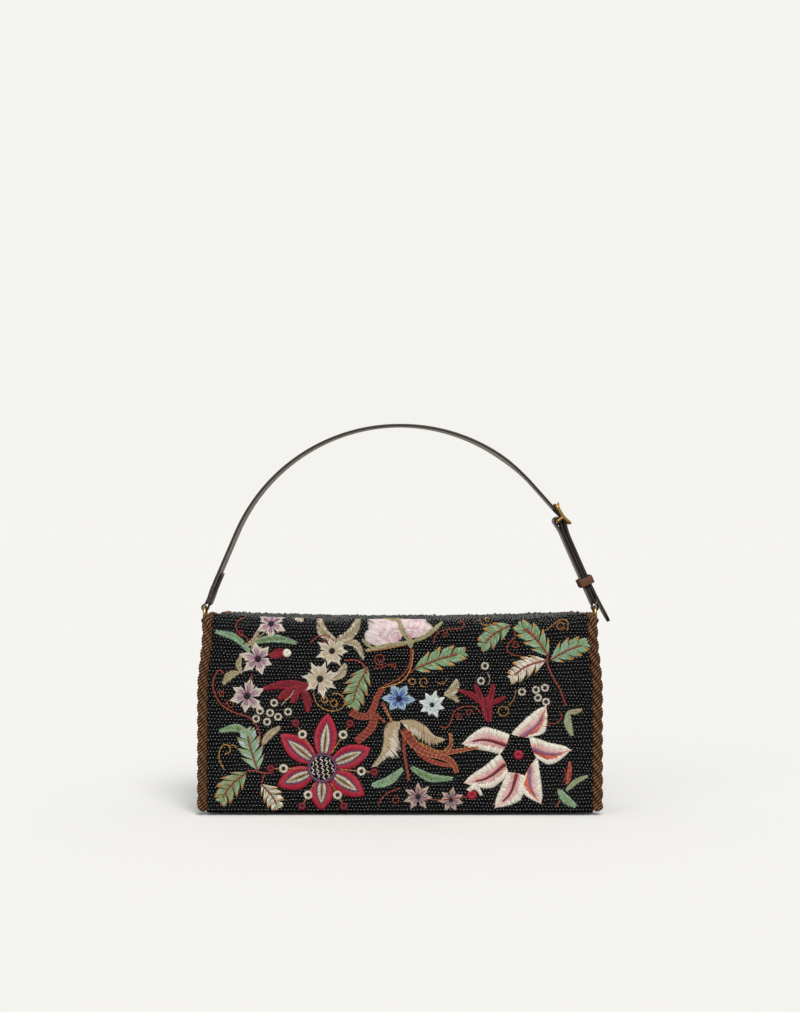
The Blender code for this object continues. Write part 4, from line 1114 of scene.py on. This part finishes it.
def to_skin(x, y):
    """Photo pixels to a place across and up the flap."""
    z = (PHOTO_FOOT_Y - np.minimum(y, PHOTO_HEM_Y)) * PIXEL * MM
    x = (x - PHOTO_MID_X) * PIXEL * MM
    z = z + sink(x, z)
    over = FRONT_RUN + BEND * np.arcsin(np.clip((z - FLAP_TOP_Z + BEND) / BEND, 0, 1))
    return x, np.where(z - HEM_Z > FRONT_RUN, over, z - HEM_Z)


class Cover:
    """Which small squares of the flap the embroidery hides, so that no bead is sewn there."""

    def __init__(self):
        self.cells = np.zeros(COVER_SIZE, bool)

    def index(self, *places):
        cells = (np.rint(place / COVER_CELL).astype(int) + zero for place, zero in zip(places, COVER_ZERO))
        return tuple(np.clip(cell, 0, size - 1) for cell, size in zip(cells, COVER_SIZE))

    def mark(self, starts, ends):
        for t in np.linspace(0, 1, 24):
            p = starts + (ends - starts) * t
            self.cells[self.index(p[:, 0], p[:, 1])] = True

    def hides(self, x, s, radius):
        count = 2 * self.cells[self.index(x, s)]
        for k in range(8):
            way = heading(math.pi / 4 * k) * radius
            count = count + self.cells[self.index(x + way[0], s + way[1])]
        return count >= 4


def sew(name, seed, cover, look, *motifs):
    """Works the motifs in one piece of thread, marks what they cover and lays them on the flap."""
    work = Needlework(seed)
    for motif in motifs:
        motif(work)
    rows = np.array(work.rows)
    half_width, height, lift = rows[:, 10:].T * MM
    base = STITCH_BASE + lift * LIFT_SCALE
    starts = np.stack([*to_skin(rows[:, 0], rows[:, 1]), base + STITCH_RISE], -1)
    ends = np.stack([*to_skin(rows[:, 2], rows[:, 3]), base], -1)
    cover.mark(starts, ends)
    colours = np.stack([rows[:, 4:7], rows[:, 7:10]], 1)
    mesh = grains(name, starts, ends, half_width, height * HEIGHT_SCALE, colours, on_skin, sides=6)
    obj = piece(name, mesh, look, None)
    fold_blend(obj)


# ---- beads ----


def bead_shape(around, rings):
    """One round bead, closed flat where it is sunk in the cloth."""
    bm = bmesh.new()
    bmesh.ops.create_uvsphere(bm, u_segments=around, v_segments=rings, radius=1)
    bmesh.ops.delete(bm, geom=[v for v in bm.verts if v.co.z < -0.4], context="VERTS")
    low = min(v.co.z for v in bm.verts) + 0.01
    for vert in bm.verts:
        if vert.co.z < low:
            vert.co.z = -0.35
    bmesh.ops.holes_fill(bm, edges=[e for e in bm.edges if e.is_boundary], sides=0)
    return cut_up(bm)


def bead_field(name, body, first, last, reach, seed, look, shape, cover=None):
    """Wavy rows of beads from one row to another, staggered like bricks."""
    rng = np.random.default_rng(seed)
    unit, faces = shape
    xs, ss = [], []
    for number in range(first, last):
        nominal = FIRST_ROW + number * BEAD_ROW
        side = float(reach(nominal)) - BEAD_PITCH * 0.3
        count = int(2 * side / BEAD_PITCH) + 1
        x = np.linspace(-side, side, count) + (0.25 if number % 2 else -0.25) * BEAD_PITCH
        x = x + rng.normal(0, 0.14 * MM, count)
        wave = sum(high * np.sin(x / long + number * step) for high, long, step in BEAD_WAVES)
        fade = min(1.0, abs(nominal - FIRST_ROW) / (5 * MM))
        xs.append(x)
        ss.append(nominal + wave * fade + rng.normal(0, 0.11 * MM, count))
    x, s = np.concatenate(xs), np.concatenate(ss)
    if cover:
        keep = ~cover.hides(x, s, 0.8 * MM)
        x, s = x[keep], s[keep]
    size = 1 + rng.normal(0, 0.05, len(x))
    rough = 0.05 + 0.24 * eased((s - FRONT_RUN) / (9 * MM))
    out = BEAD_CENTRE + rng.normal(0, 1, len(x)) * rough * MM
    y, z = skin(s, out)
    normal = unit_rows(outward_at(s, out))
    centre = np.stack([x, y, sagged(x, s, z) if cover else z], -1)
    tilt = rng.normal(0, 0.12, len(x))
    row = np.stack([np.cos(tilt), np.sin(tilt) * normal[:, 2], -np.sin(tilt) * normal[:, 1]], -1)
    normal = unit_rows(normal + row * rng.normal(0, 0.09, (len(x), 1)))
    points = centre[:, None]
    for k, (way, radius) in enumerate(zip((row, np.cross(normal, row), normal), BEAD_RADII)):
        points = points + way[:, None] * unit[None, :, k : k + 1] * (radius * size)[:, None, None]
    mesh = copies(name, points, faces)
    tones = np.clip(rng.gamma(1.2, 0.2, len(x)), 0, 1)
    mesh.attributes.new("tone", "FLOAT", "POINT").data.foreach_set("value", np.repeat(tones, len(unit)))
    piece(name, mesh, look, body)


# ---- rope ----


def rope(side, word, look):
    """Three plies of thick threads twisted round each other along the flap's side edge."""
    name = f"{word}_rope_trim"
    s = -0.2 * MM + np.linspace(0, 1, 260) * (HINGE_S - 0.6 * MM)
    y, z = skin(s, -ROPE_DEPTH - (ROPE_DEPTH_ON_TOP - ROPE_DEPTH) * eased((s - FRONT_RUN) / (14 * MM)))
    lift = np.maximum(sagged(rope_x(s), s, z) - z, 0)
    route = Route(np.stack([side * rope_x(s), y, z + lift], -1))
    outward = outward_at(s)
    outward = unit_rows(outward - route.ahead * (outward * route.ahead).sum(1)[:, None])
    sideways = np.cross(route.ahead, outward)
    sideways *= np.sign(sideways[0, 0])

    def bumps(angle, at):
        return np.abs(np.sin((angle - 2 * math.pi * at / THREAD_TURN) * THREADS_IN_PLY / 2))

    # The strand colour holds each point's height on its thread, which the rope's material turns into painted shade in
    # the grooves and a painted highlight on the crowns, and the way round its ply.
    def strand(u, v):
        at, way = v * route.length, 2 * math.pi * u
        return np.stack([bumps(way, at), way + at / PLY_RADIUS, 0 * u, 0 * u + 1], -1)

    def place(u, v, phase):
        at, way = v * route.length, 2 * math.pi * u
        out, across = route.read(v, outward), route.read(v, sideways)
        turn = phase - 2 * math.pi * at / PLY_PITCH
        end = np.clip(np.minimum(at, route.length - at) / PLY_END, 0.02, 1) ** 0.5
        size = (PLY_RADIUS - THREAD_RELIEF + THREAD_RELIEF * bumps(way, at) ** 0.8) * end
        found = route.read(v, route.points)
        for angle, radius in ((turn, PLY_OFFSET * end), (way, size)):
            found = found + (out * np.cos(angle)[:, None] + across * np.sin(angle)[:, None]) * radius[:, None]
        return found

    plies = []
    for number in range(PLIES):
        phase = 2 * math.pi * number / PLIES
        ply = lambda u, v, phase=phase: place(u, v, phase)
        plies.append(surface("ply", across=42, along=440, place=ply, seam=True, extra=("strand", strand)))
    obj = piece(name, joined(name, plies), look, None)
    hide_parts(f"{word}_front_rope", f"{word}_top_rope")
    fold_blend(obj)


# ---- strap, rings and buckle ----

SHORT_WAY = (BAR - Vector((RING_X, 0, UPPER_EYE_Z))).normalized()
SHORT_OUT = Vector((SHORT_WAY.z, 0, -SHORT_WAY.x))


def on_strap(along_mm, out_mm):
    return BAR + SHORT_WAY * along_mm * MM + SHORT_OUT * out_mm * MM


def eye_loop(centre, along, radius, *angles):
    out = Vector((along.z, 0, -along.x))
    return [centre + along * radius * math.cos(a) + out * radius * math.sin(a) for a in turned(*angles)]


def eye_widths(points, eye, along, full_thick):
    share = eased(((points - np.array(eye)) @ np.array(along) - 1.8 * MM) / (1.8 * MM))
    return TONGUE_HALF + (STRAP_HALF - TONGUE_HALF) * share, TONGUE_THICK + (full_thick - TONGUE_THICK) * share


def on_arch(angle):
    return Vector((ARCH_RADIUS * math.cos(angle), 0, ARCH_CENTRE_Z + ARCH_RADIUS * math.sin(angle)))


def long_strap_line():
    """Fold at the left ring, its eye, the straight part, the arch, the buckle and the loose end."""
    eye = Vector((-RING_X, 0, UPPER_EYE_Z))
    reach = eye - Vector((0, 0, ARCH_CENTRE_Z))
    leave = math.pi - math.atan2(reach.z, -reach.x) - math.acos(ARCH_RADIUS / reach.length)
    straight = on_arch(leave) - eye
    along = straight.normalized()
    out = Vector((-along.z, 0, along.x))
    line = [eye + along * d * MM - out * (STRAP_THICK + LAYER_GAP) for d in (26, 21.5, 17, 12.5, 8, 3.6)]
    line += eye_loop(eye, along, EYE_RADIUS, *EYE_TURN, 14)
    line += [eye + along * d for d in steps_between(EYE_END, straight.length, 8)[:-1]]
    line += [on_arch(a) for a in steps_between(leave, math.radians(42), 40)]
    line += [
        on_strap(*place)
        for place in (
            UNDER_TOP_BAR,
            OVER_BAR,
            (-9.0, (OVER_BAR[1] + LONG_OUT) / 2 - 0.3),
            (-16.5, LONG_OUT),
            (KEEPER_ALONG, LONG_OUT),
            ((KEEPER_ALONG + TIP[0]) / 2, LONG_OUT + (TIP[1] - LONG_OUT) * 0.35),
            TIP,
        )
    ]
    return line, eye, along


def mark_painted_light_face(obj, seen):
    """Marks the side of a strap turned to the inside of the arch, where it can be seen, to be painted pale as painted
    light on it.
    """
    place, normal = (column(obj.data.vertices, key) for key in ("co", "normal"))
    inward = np.stack([-place[:, 0], 0 * place[:, 0], np.minimum(ARCH_CENTRE_Z - place[:, 2], 0)], -1)
    facing = (normal * inward).sum(1) / lengths(inward)
    share = np.clip((facing - 0.55) / 0.3, 0, 1) * seen(place)
    obj.data.attributes.new("back", "FLOAT", "POINT").data.foreach_set("value", share)


def hole(place, way, length):
    """A slot through the strap, as long as given; it is round where it is no longer than it is wide."""
    bm = bmesh.new()
    bmesh.ops.create_cone(bm, cap_ends=True, segments=20, radius1=HOLE_RADIUS, radius2=HOLE_RADIUS, depth=6 * MM)
    for vert in bm.verts:
        if abs(vert.co.x) > 1e-6:
            vert.co.x += math.copysign(max(0.0, length / 2 - HOLE_RADIUS), vert.co.x)
    normal = Vector((way.z, 0, -way.x))
    bm.transform(Matrix.Translation(place) @ Matrix((way, normal.cross(way), normal)).transposed().to_4x4())
    return meshed("hole", bm, True)


def long_strap(look):
    line, eye, along = long_strap_line()
    fine = spline(line, step=1.2 * MM)
    x, z = fine[:, 0], fine[:, 2]
    widths, thicks = eye_widths(fine, eye, along, STRAP_THICK)
    tail = lengths(fine - fine[-1])
    near_tip = (np.arange(len(fine)) > len(fine) // 2) & (tail < TIP_TAPER)
    widths = np.where(near_tip, (3.0 + 4.0 * np.sqrt(np.clip(tail / TIP_TAPER, 0, 1))) * MM, widths)
    # The strap leans to one side over the arch and runs level into its eye and the buckle
    fade = eased((88 * MM - x) / (22 * MM)) * eased((z - UPPER_EYE_Z - 6 * MM) / (8 * MM))
    twists = np.where(x < 0, 4.5, -9.0) * np.cos(np.arctan2(z - ARCH_CENTRE_Z, x)) * fade
    mesh = band("long_strap", fine, widths, thicks, 0.6 * MM, twists)
    obj = piece("long_strap", mesh, look, "strap")
    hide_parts("main_strap")
    over = on_strap(*OVER_BAR)
    slope = (on_strap(*UNDER_TOP_BAR) - over).normalized()
    # The prong's slot and two spare holes
    holes = [hole(over + slope * 3.2 * MM, slope, 9.2 * MM)]
    holes += [hole(on_strap(-15.0 * i, LONG_OUT), SHORT_WAY, 2 * HOLE_RADIUS) for i in (1, 2)]
    cutter = bpy.data.objects.new("holes", joined("holes", holes))
    bpy.context.scene.collection.objects.link(cutter)
    cut = obj.modifiers.new("holes", "BOOLEAN")
    cut.operation = "DIFFERENCE"
    cut.object = cutter
    bpy.context.view_layer.update()
    graph = bpy.context.evaluated_depsgraph_get()
    finished = bpy.data.meshes.new_from_object(obj.evaluated_get(graph), preserve_all_data_layers=True, depsgraph=graph)
    obj.modifiers.clear()
    obj.data = finished
    bpy.data.objects.remove(cutter, do_unlink=True)
    mark_painted_light_face(obj, lambda place: (place[:, 0] < 104 * MM) | (place[:, 2] < 143 * MM))


def short_strap(look):
    eye = Vector((RING_X, 0, UPPER_EYE_Z))
    layer = SHORT_OUT * ((SHORT_THICK + LAYER_GAP) / 2)
    middle = [eye + SHORT_WAY * d for d in steps_between(EYE_END, (BAR - eye).length - 7.5 * MM, 6)]
    inner = [place - layer for place in middle]
    line = inner[2:]
    line += eye_loop(BAR, SHORT_WAY, BAR_RADIUS + BAR_CLEAR + SHORT_THICK / 2, -115, 115, 16)
    line += [place + layer for place in reversed(middle)]
    line += eye_loop(eye, SHORT_WAY, EYE_RADIUS, *EYE_TURN, 14)
    line += [inner[0], inner[1], inner[2] - SHORT_WAY * 0.3 * MM]
    fine = spline(line, step=0.9 * MM)
    mesh = band("short_strap", fine, *eye_widths(fine, eye, SHORT_WAY, SHORT_THICK), 0.5 * MM)
    obj = piece("short_strap", mesh, look, "strap")
    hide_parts("buckle_strap")
    mark_painted_light_face(obj, lambda place: (place - np.array(BAR)) @ np.array(SHORT_OUT) < -0.2 * MM)


def tab(side, word, look):
    """A folded leather tab; it goes up the side panel, through the ring and down again."""
    inner_x = HALF_BODY + 0.8 * MM
    outer_x = inner_x + TONGUE_THICK + LAYER_GAP
    line = [(inner_x, z * MM) for z in (106, 112, 118, 123.2)]
    line += arc((RING_X, LOWER_EYE_Z), EYE_RADIUS, 180, 0, 14)
    line += [(outer_x, z * MM) for z in (123.2, 118, 112, 107)]
    fine = spline([(side * x, 0, z) for x, z in line], step=0.7 * MM)
    widths = (6.0 + (2.6 - 6.0) * eased((fine[:, 2] - 118 * MM) / (5.2 * MM))) * MM
    mesh = band(f"{word}_ring_tab", fine, widths, np.full(len(fine), TONGUE_THICK), 0.35 * MM)
    obj = piece(f"{word}_ring_tab", mesh, look, "bag")
    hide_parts(f"{word}_tab")


def rounded_path(corners, radius, steps):
    """The closed way through the corners, each of them rounded off."""
    found = []
    for before, here, after in zip(corners[-1:] + corners, corners, corners[1:] + corners[:1]):
        back, on = before - here, after - here
        reach = min(radius, back.length * 0.45, on.length * 0.45)
        a, b = here + back.normalized() * reach, here + on.normalized() * reach
        for t in (k / steps for k in range(steps + 1)):
            found.append((a * (1 - t) + here * t) * (1 - t) + (here * (1 - t) + b * t) * t)
    return found


def hardware(gold):
    for side, word in SIDES:
        wire = [(side * RING_X, y, z) for y, z in arc((0, RING_Z), RING_RADIUS, 0, 360, 96)[:-1]]
        mesh = tube(f"{word}_strap_ring", wire, RING_WIRE, closed=True, up=(side, 0, 0), along=96)
        obj = piece(f"{word}_strap_ring", mesh, gold, "strap")
        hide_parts(f"{word}_ring")
    across = Vector((0, STRAP_HALF + 0.6 * MM + BAR_RADIUS, 0))
    top, rail, low = (on_strap(*place) for place in (TOP_BAR, RAIL, LOW_BAR))
    loop = [top - across, rail - across, low - across, low + across, rail + across, top + across]
    parts = [tube("loop", rounded_path(loop, 2.2 * MM, 6), BAR_RADIUS, closed=True, around=20, along=220)]
    parts.append(tube("bar", [BAR - across, BAR, BAR + across], BAR_RADIUS, around=20, along=24, up=(1, 0, 0)))
    for hand in (-1, 1):
        arm = [place + across * hand for place in (BAR, BAR.lerp(rail, 0.5), rail)]
        parts.append(tube("arm", arm, BAR_RADIUS * 0.98, around=20, along=16, up=(0, 1, 0)))
    obj = piece("strap_buckle", joined("strap_buckle", parts), gold, "strap")
    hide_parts("buckle_frame")
    eye_radius = BAR_RADIUS + BAR_CLEAR + WIRE_RADIUS
    eye = [(x, 0, z) for x, z in arc((BAR.x, BAR.z), eye_radius, 0, 360, 48)[:-1]]
    over = on_strap(TOP_BAR[0], TOP_BAR[1] + 1.1 + 0.3 + 0.8)
    start = on_strap(eye_radius / MM * 0.35, eye_radius / MM * 0.95)
    tongue = spline((start, start.lerp(over, 0.5), over, over + SHORT_WAY * 1.2 * MM), step=0.4 * MM)
    taper = lambda v: (0.8 - 0.28 * v**3) * MM
    parts = [tube("eye", eye, WIRE_RADIUS, closed=True, up=(0, 1, 0), along=48, around=14)]
    parts.append(tube("tongue", tongue, taper, around=14, along=40, up=(0, 1, 0)))
    obj = piece("prong", joined("prong", parts), gold, "prong")
    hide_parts("buckle_prong")


def keeper(look):
    """The leather loop round both straps, from the short one's inner face to the long one's outer face."""
    low, high = -(0.15 + 1.6), LONG_OUT + 1.0
    corner, half_thick = 2.0, 0.65
    half_out, half_across = (high - low) / 2 + 1.2 + half_thick, 7.0 + 0.6 + half_thick
    middle = on_strap(KEEPER_ALONG, (high + low) / 2)
    loop = []
    for a, b, start in QUARTERS:
        loop += arc((a * (half_out - corner), b * (half_across - corner)), corner, start, start + 90, 6)
    points = [middle + SHORT_OUT * a * MM + Vector((0, b * MM, 0)) for a, b in loop]
    route = Route(points, closed=True, up=SHORT_WAY[:])

    def place(u, v):
        level = np.array([SHORT_WAY[:]])
        a, b = rounded(u, 2.7 * MM, 0.62 * MM, 0.45 * MM)
        through = np.cross(route.read(v, route.ahead), level)
        return route.read(v, route.points) + level * a[:, None] + through * b[:, None]

    mesh = surface("leather_keeper", SECTION_STEPS, 160, place, seam=True, ring=True)
    obj = piece("leather_keeper", mesh, look, "keeper")
    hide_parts("strap_keeper")


# ---- cloth and lining ----


def cloth_uv(reach, length):
    return lambda u, v: np.stack([(u * 2 - 1) * reach, v * length], -1)


def flap_cloth(outer_look, lining_look):
    """The flap's ground cloth and its lining, from the hem to the back edge."""
    top = HINGE_S - 0.15 * MM
    uv = cloth_uv(0.127, top)

    def ground(u, v):
        s = v * top
        return on_skin(np.stack([(u * 2 - 1) * (edge_x(s) + 0.6 * MM), s, np.full(len(s), -GROUND_DEPTH)], -1))

    def under(u, v):
        s = 0.3 * MM + v * (top - 0.6 * MM)
        depth = 3.9 * MM - 1.1 * MM * eased((s - FOLD_S + 14 * MM) / (16 * MM))
        return on_skin(np.stack([(u * 2 - 1) * (edge_x(s) + 0.2 * MM), s, -depth], -1))

    obj = piece("flap_cloth", surface("flap_cloth", 40, 150, ground, uv), outer_look, None)
    thickened(obj, 1.5 * MM, rim=0.4 * MM)
    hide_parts("flap_front_shell", "flap_top_shell")
    fold_blend(obj)
    mesh = surface("flap_inner_lining", 40, 150, under, uv)
    obj = piece("flap_inner_lining", mesh, lining_look, None)
    thickened(obj, 0.7 * MM)
    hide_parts("flap_front_lining", "flap_top_lining")
    fold_blend(obj)


def body_line(inset, top, ends, steps):
    """Down the front, under the base and up the back of the body, in Y and Z."""
    line = [(FRONT_Y + inset, top)]
    for y, start in ((FRONT_Y + BASE_BEND, 180), (BACK_Y - BASE_BEND, 270)):
        line += arc((y, BASE_BEND), BASE_BEND - inset, start, start + 90, steps)
    return line + [(BACK_Y - inset, ends)]


def body_cloth(look):
    """Front, base and back of the body in one sheet of black cloth."""
    line = body_line(0.25 * MM, MOUTH_Z, HINGE_Z - HINGE_GAP, 10)
    route = Route([(0, y, z) for y, z in line], up=(1, 0, 0))

    def place(u, v):
        centre = route.read(v, route.points)
        centre[:, 0] = (u * 2 - 1) * (HALF_BODY - 1.7 * MM)
        return centre

    mesh = surface("body_cloth", 30, 160, place, cloth_uv(HALF_BODY, route.length), flip=True)
    obj = piece("body_cloth", mesh, look, "bag")
    thickened(obj, 1.2 * MM, rim=0.3 * MM)
    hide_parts("bag_shell")


def gusset(side, word, look, piping_look):
    """A side panel with a dipped top edge and a soft fold inwards, and the piping round it."""
    top_z = HINGE_Z - HINGE_GAP
    half = BACK_Y - 0.3 * MM

    def place(u, v):
        dip = 4.0 * MM * np.cos((u * 2 - 1) * half / BACK_Y * math.pi / 2) ** 1.5
        z = v * (top_z - dip)
        low = np.clip(BASE_BEND - z, 0, None)
        y = (u * 2 - 1) * (half - (BASE_BEND - np.sqrt(np.clip(BASE_BEND**2 - low**2, 0, None))))
        fold = 1.1 * MM * np.exp(-((y / (7 * MM)) ** 2)) * eased(z / (40 * MM))
        fold = fold * eased((top_z - 26 * MM - z) / (30 * MM))
        return np.stack([side * (HALF_BODY - 0.15 * MM - fold), y, z + 0.2 * MM], -1)

    mesh = surface(f"{word}_side_panel", 28, 60, place, cloth_uv(BACK_Y, top_z), flip=side < 0)
    obj = piece(f"{word}_side_panel", mesh, look, "bag")
    thickened(obj, 1.2 * MM)
    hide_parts(f"{word}_gusset")
    line = body_line(0.9 * MM, HINGE_Z - 1.5 * MM, HINGE_Z - 1.5 * MM, 8)
    points = [(side * (HALF_BODY - 0.75 * MM), y, z) for y, z in line]
    pipe = tube(f"{word}_side_piping", points, 0.85 * MM, around=12, along=260, up=(side, 0, 0))
    piece(f"{word}_side_piping", pipe, piping_look, "bag")


def copy_of_node(name, node, look):
    """A merged copy of a box-like solid inside the bag, with its edges softened."""
    bm = bmesh.new()
    bm.from_mesh(bpy.data.objects[node].data)
    bmesh.ops.remove_doubles(bm, verts=bm.verts, dist=1e-6)
    bmesh.ops.dissolve_limit(bm, angle_limit=math.radians(2), verts=bm.verts, edges=bm.edges)
    edges = [e for e in bm.edges if len(e.link_faces) == 2 and e.calc_face_angle(0) > math.radians(30)]
    bmesh.ops.bevel(bm, geom=edges, offset=0.3 * MM, segments=3, profile=0.5, affect="EDGES", material=-1)
    bmesh.ops.triangulate(bm, faces=[f for f in bm.faces if len(f.verts) > 4])
    sheet = bm.loops.layers.uv.new("UVMap")
    for face in bm.faces:
        n = face.normal
        for loop in face.loops:
            x, y, z = loop.vert.co
            loop[sheet].uv = (x, z) if abs(n.y) > 0.6 else ((y, z) if abs(n.x) > 0.6 else (x, y))
    obj = piece(name, meshed(name, bm), look, "bag", sharp=35)
    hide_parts(node)


# ---- stage ----

BACKDROP = tint(244, 243, 239)
# The floor's paint, in shares of the backdrop's colour: as light felt by the bag, as seen and as mirrored
FLOOR_FELT, FLOOR_SEEN, FLOOR_MIRRORED = 0.50, 1.0, 0.06
WORLD_LIGHT = 0.42
CAMERA_AT = (0, FACE_Y - 1.150, 0.20615)
# name, strength, width of the lamp in degrees, tilt from straight down towards the camera, turn about Z
LAMPS = (
    ("key", 2.4, 32, 40, 12),
    ("fill", 0.6, 50, 72, -30),
)


def light_world():
    """An even light, a plain backdrop for the camera, and a shaped one that only mirrors see."""
    world = bpy.context.scene.world = bpy.data.worlds.new("studio")
    sky = Look(world)
    sky.tree.nodes.remove(sky.tree.nodes["Background"])

    def glow(colour, strength):
        return sky.node("ShaderNodeBackground", None, [colour, strength])

    def ramp(value, *ends):
        """From one range of the value, by its two ends, to a range of strengths."""
        return sky.node("ShaderNodeMapRange", None, [value, *ends])

    way = sky.place("Generated")
    y, z = sky.axis(way, "Y"), sky.axis(way, "Z")
    plain = ramp(y, -0.1, 0.8, 0.01, 0.12) + ramp(z, 0.0, 1.0, 0.0, 0.07)
    panel = ramp(z * 0.66 + y * 0.75, 0.955, 0.985, 0.0, 2.2)
    mirror, even = glow(BACKDROP, plain + panel), glow(tint(240, 240, 240), WORLD_LIGHT)
    lit = sky.node("ShaderNodeMixShader", None, [sky.ray("Glossy"), even, mirror])
    direct = sky.ray("Camera").does("MAXIMUM", sky.ray("Transmission"))
    final = sky.node("ShaderNodeMixShader", None, [direct, lit, glow(BACKDROP, 1.0)])
    sky.join(sky.tree.nodes["World Output"].inputs["Surface"], final)


def linked(name, data, **settings):
    obj = bpy.data.objects.new(name, data)
    for key, value in settings.items():
        setattr(obj, key, value)
    bpy.context.scene.collection.objects.link(obj)
    return obj


def stage():
    scene = bpy.context.scene
    scene.view_settings.view_transform = "Standard"
    bm = bmesh.new()
    bmesh.ops.create_grid(bm, x_segments=1, y_segments=1, size=60)
    floor = linked("floor", meshed("floor", bm))
    look = Look("floor_paint", roughness=1.0, specular_ior_level=0.0)
    felt, plain, dim = ([c * share for c in BACKDROP] for share in (FLOOR_FELT, FLOOR_SEEN, FLOOR_MIRRORED))
    paint = look.mix(look.ray("Camera"), look.mix(look.ray("Glossy"), felt, dim), plain)
    floor.data.materials.append(look.done(paint))
    light_world()
    for name, strength, width, tilt, turn in LAMPS:
        light = bpy.data.lights.new(name, "SUN")
        light.energy = strength
        light.angle = math.radians(width)
        linked(name, light, rotation_euler=(math.radians(tilt), 0, math.radians(turn)))
    view = bpy.data.cameras.new("camera")
    view.sensor_fit = "VERTICAL"
    view.sensor_height = 36
    view.lens = 61.5
    view.clip_end = 200
    scene.camera = linked("camera", view, location=CAMERA_AT, rotation_euler=(math.radians(90), 0, 0))


def build():
    stage()
    beads = bead_look("bead_glass")
    thread = thread_look("embroidery_thread")
    rope_thread = rope_look("rope_thread")
    strap_leather = leather_look("strap_leather", tint(38, 30, 27), tint(62, 52, 47), crease_at=5.6 * MM)
    side_leather = leather_look("side_leather", tint(30, 24, 21), tint(48, 40, 36), 0.5)
    tan = leather_look("keeper_leather", tint(70, 40, 24), tint(120, 78, 48), 0.5, 1100)
    gold = metal_look("gold_metal", tint(232, 188, 112), tint(200, 150, 78), 0.26)
    steel = metal_look("washer_steel", tint(170, 168, 164), tint(130, 128, 124), 0.4)
    black_cloth = cloth_look("black_ground", tint(4, 4, 4), tint(13, 12, 12), 0.7 * MM, 0.8, 0.0)
    brown_cloth = cloth_look("brown_lining", tint(62, 42, 30), tint(92, 66, 48), 0.6 * MM, 0.6, 0.3)
    board = board_look("stiffener_board")

    cover = Cover()
    sew("embroidered_great_flowers", 3, cover, thread, sew_great_flower, sew_lily)
    sew("embroidered_small_flowers", 5, cover, thread, sew_peony, sew_small_flowers)
    sew("embroidered_leaves", 7, cover, thread, sew_leaves)
    sew("embroidered_stems", 11, cover, thread, sew_stems)

    near_bead, far_bead = bead_shape(8, 5), bead_shape(7, 4)
    fold_row = int((FOLD_S - FIRST_ROW) / BEAD_ROW + 0.5)
    hinge_row = int((HINGE_S - 1.0 * MM - FIRST_ROW) / BEAD_ROW)
    base_row = int((HINGE_S + HINGE_Z - BASE_BEND - FIRST_ROW) / BEAD_ROW)
    bead_field("front_beads", "flap_front", 0, fold_row, edge_x, 21, beads, near_bead, cover)
    bead_field("top_beads", "flap_top", fold_row, hinge_row, edge_x, 22, beads, near_bead, cover)
    bead_field("back_beads", "bag", hinge_row + 1, base_row, lambda s: HALF_BODY - 2.2 * MM, 23, beads, far_bead)

    for side, word in SIDES:
        rope(side, word, rope_thread)
    flap_cloth(black_cloth, brown_cloth)
    body_cloth(black_cloth)
    for side, word in SIDES:
        gusset(side, word, side_leather, strap_leather)
        tab(side, word, strap_leather)
    copy_of_node("inside_lining", "lining", brown_cloth)
    copy_of_node("inside_pocket", "slip_pocket", brown_cloth)
    long_strap(strap_leather)
    short_strap(strap_leather)
    keeper(tan)
    hardware(gold)
    for node, look in (
        ("base_board", board),
        ("flap_board", board),
        ("snap_socket", gold),
        ("snap_stud", gold),
        ("snap_socket_washer", steel),
    ):
        bpy.data.objects[node].data.materials.clear()
        bpy.data.objects[node].data.materials.append(look)


build()
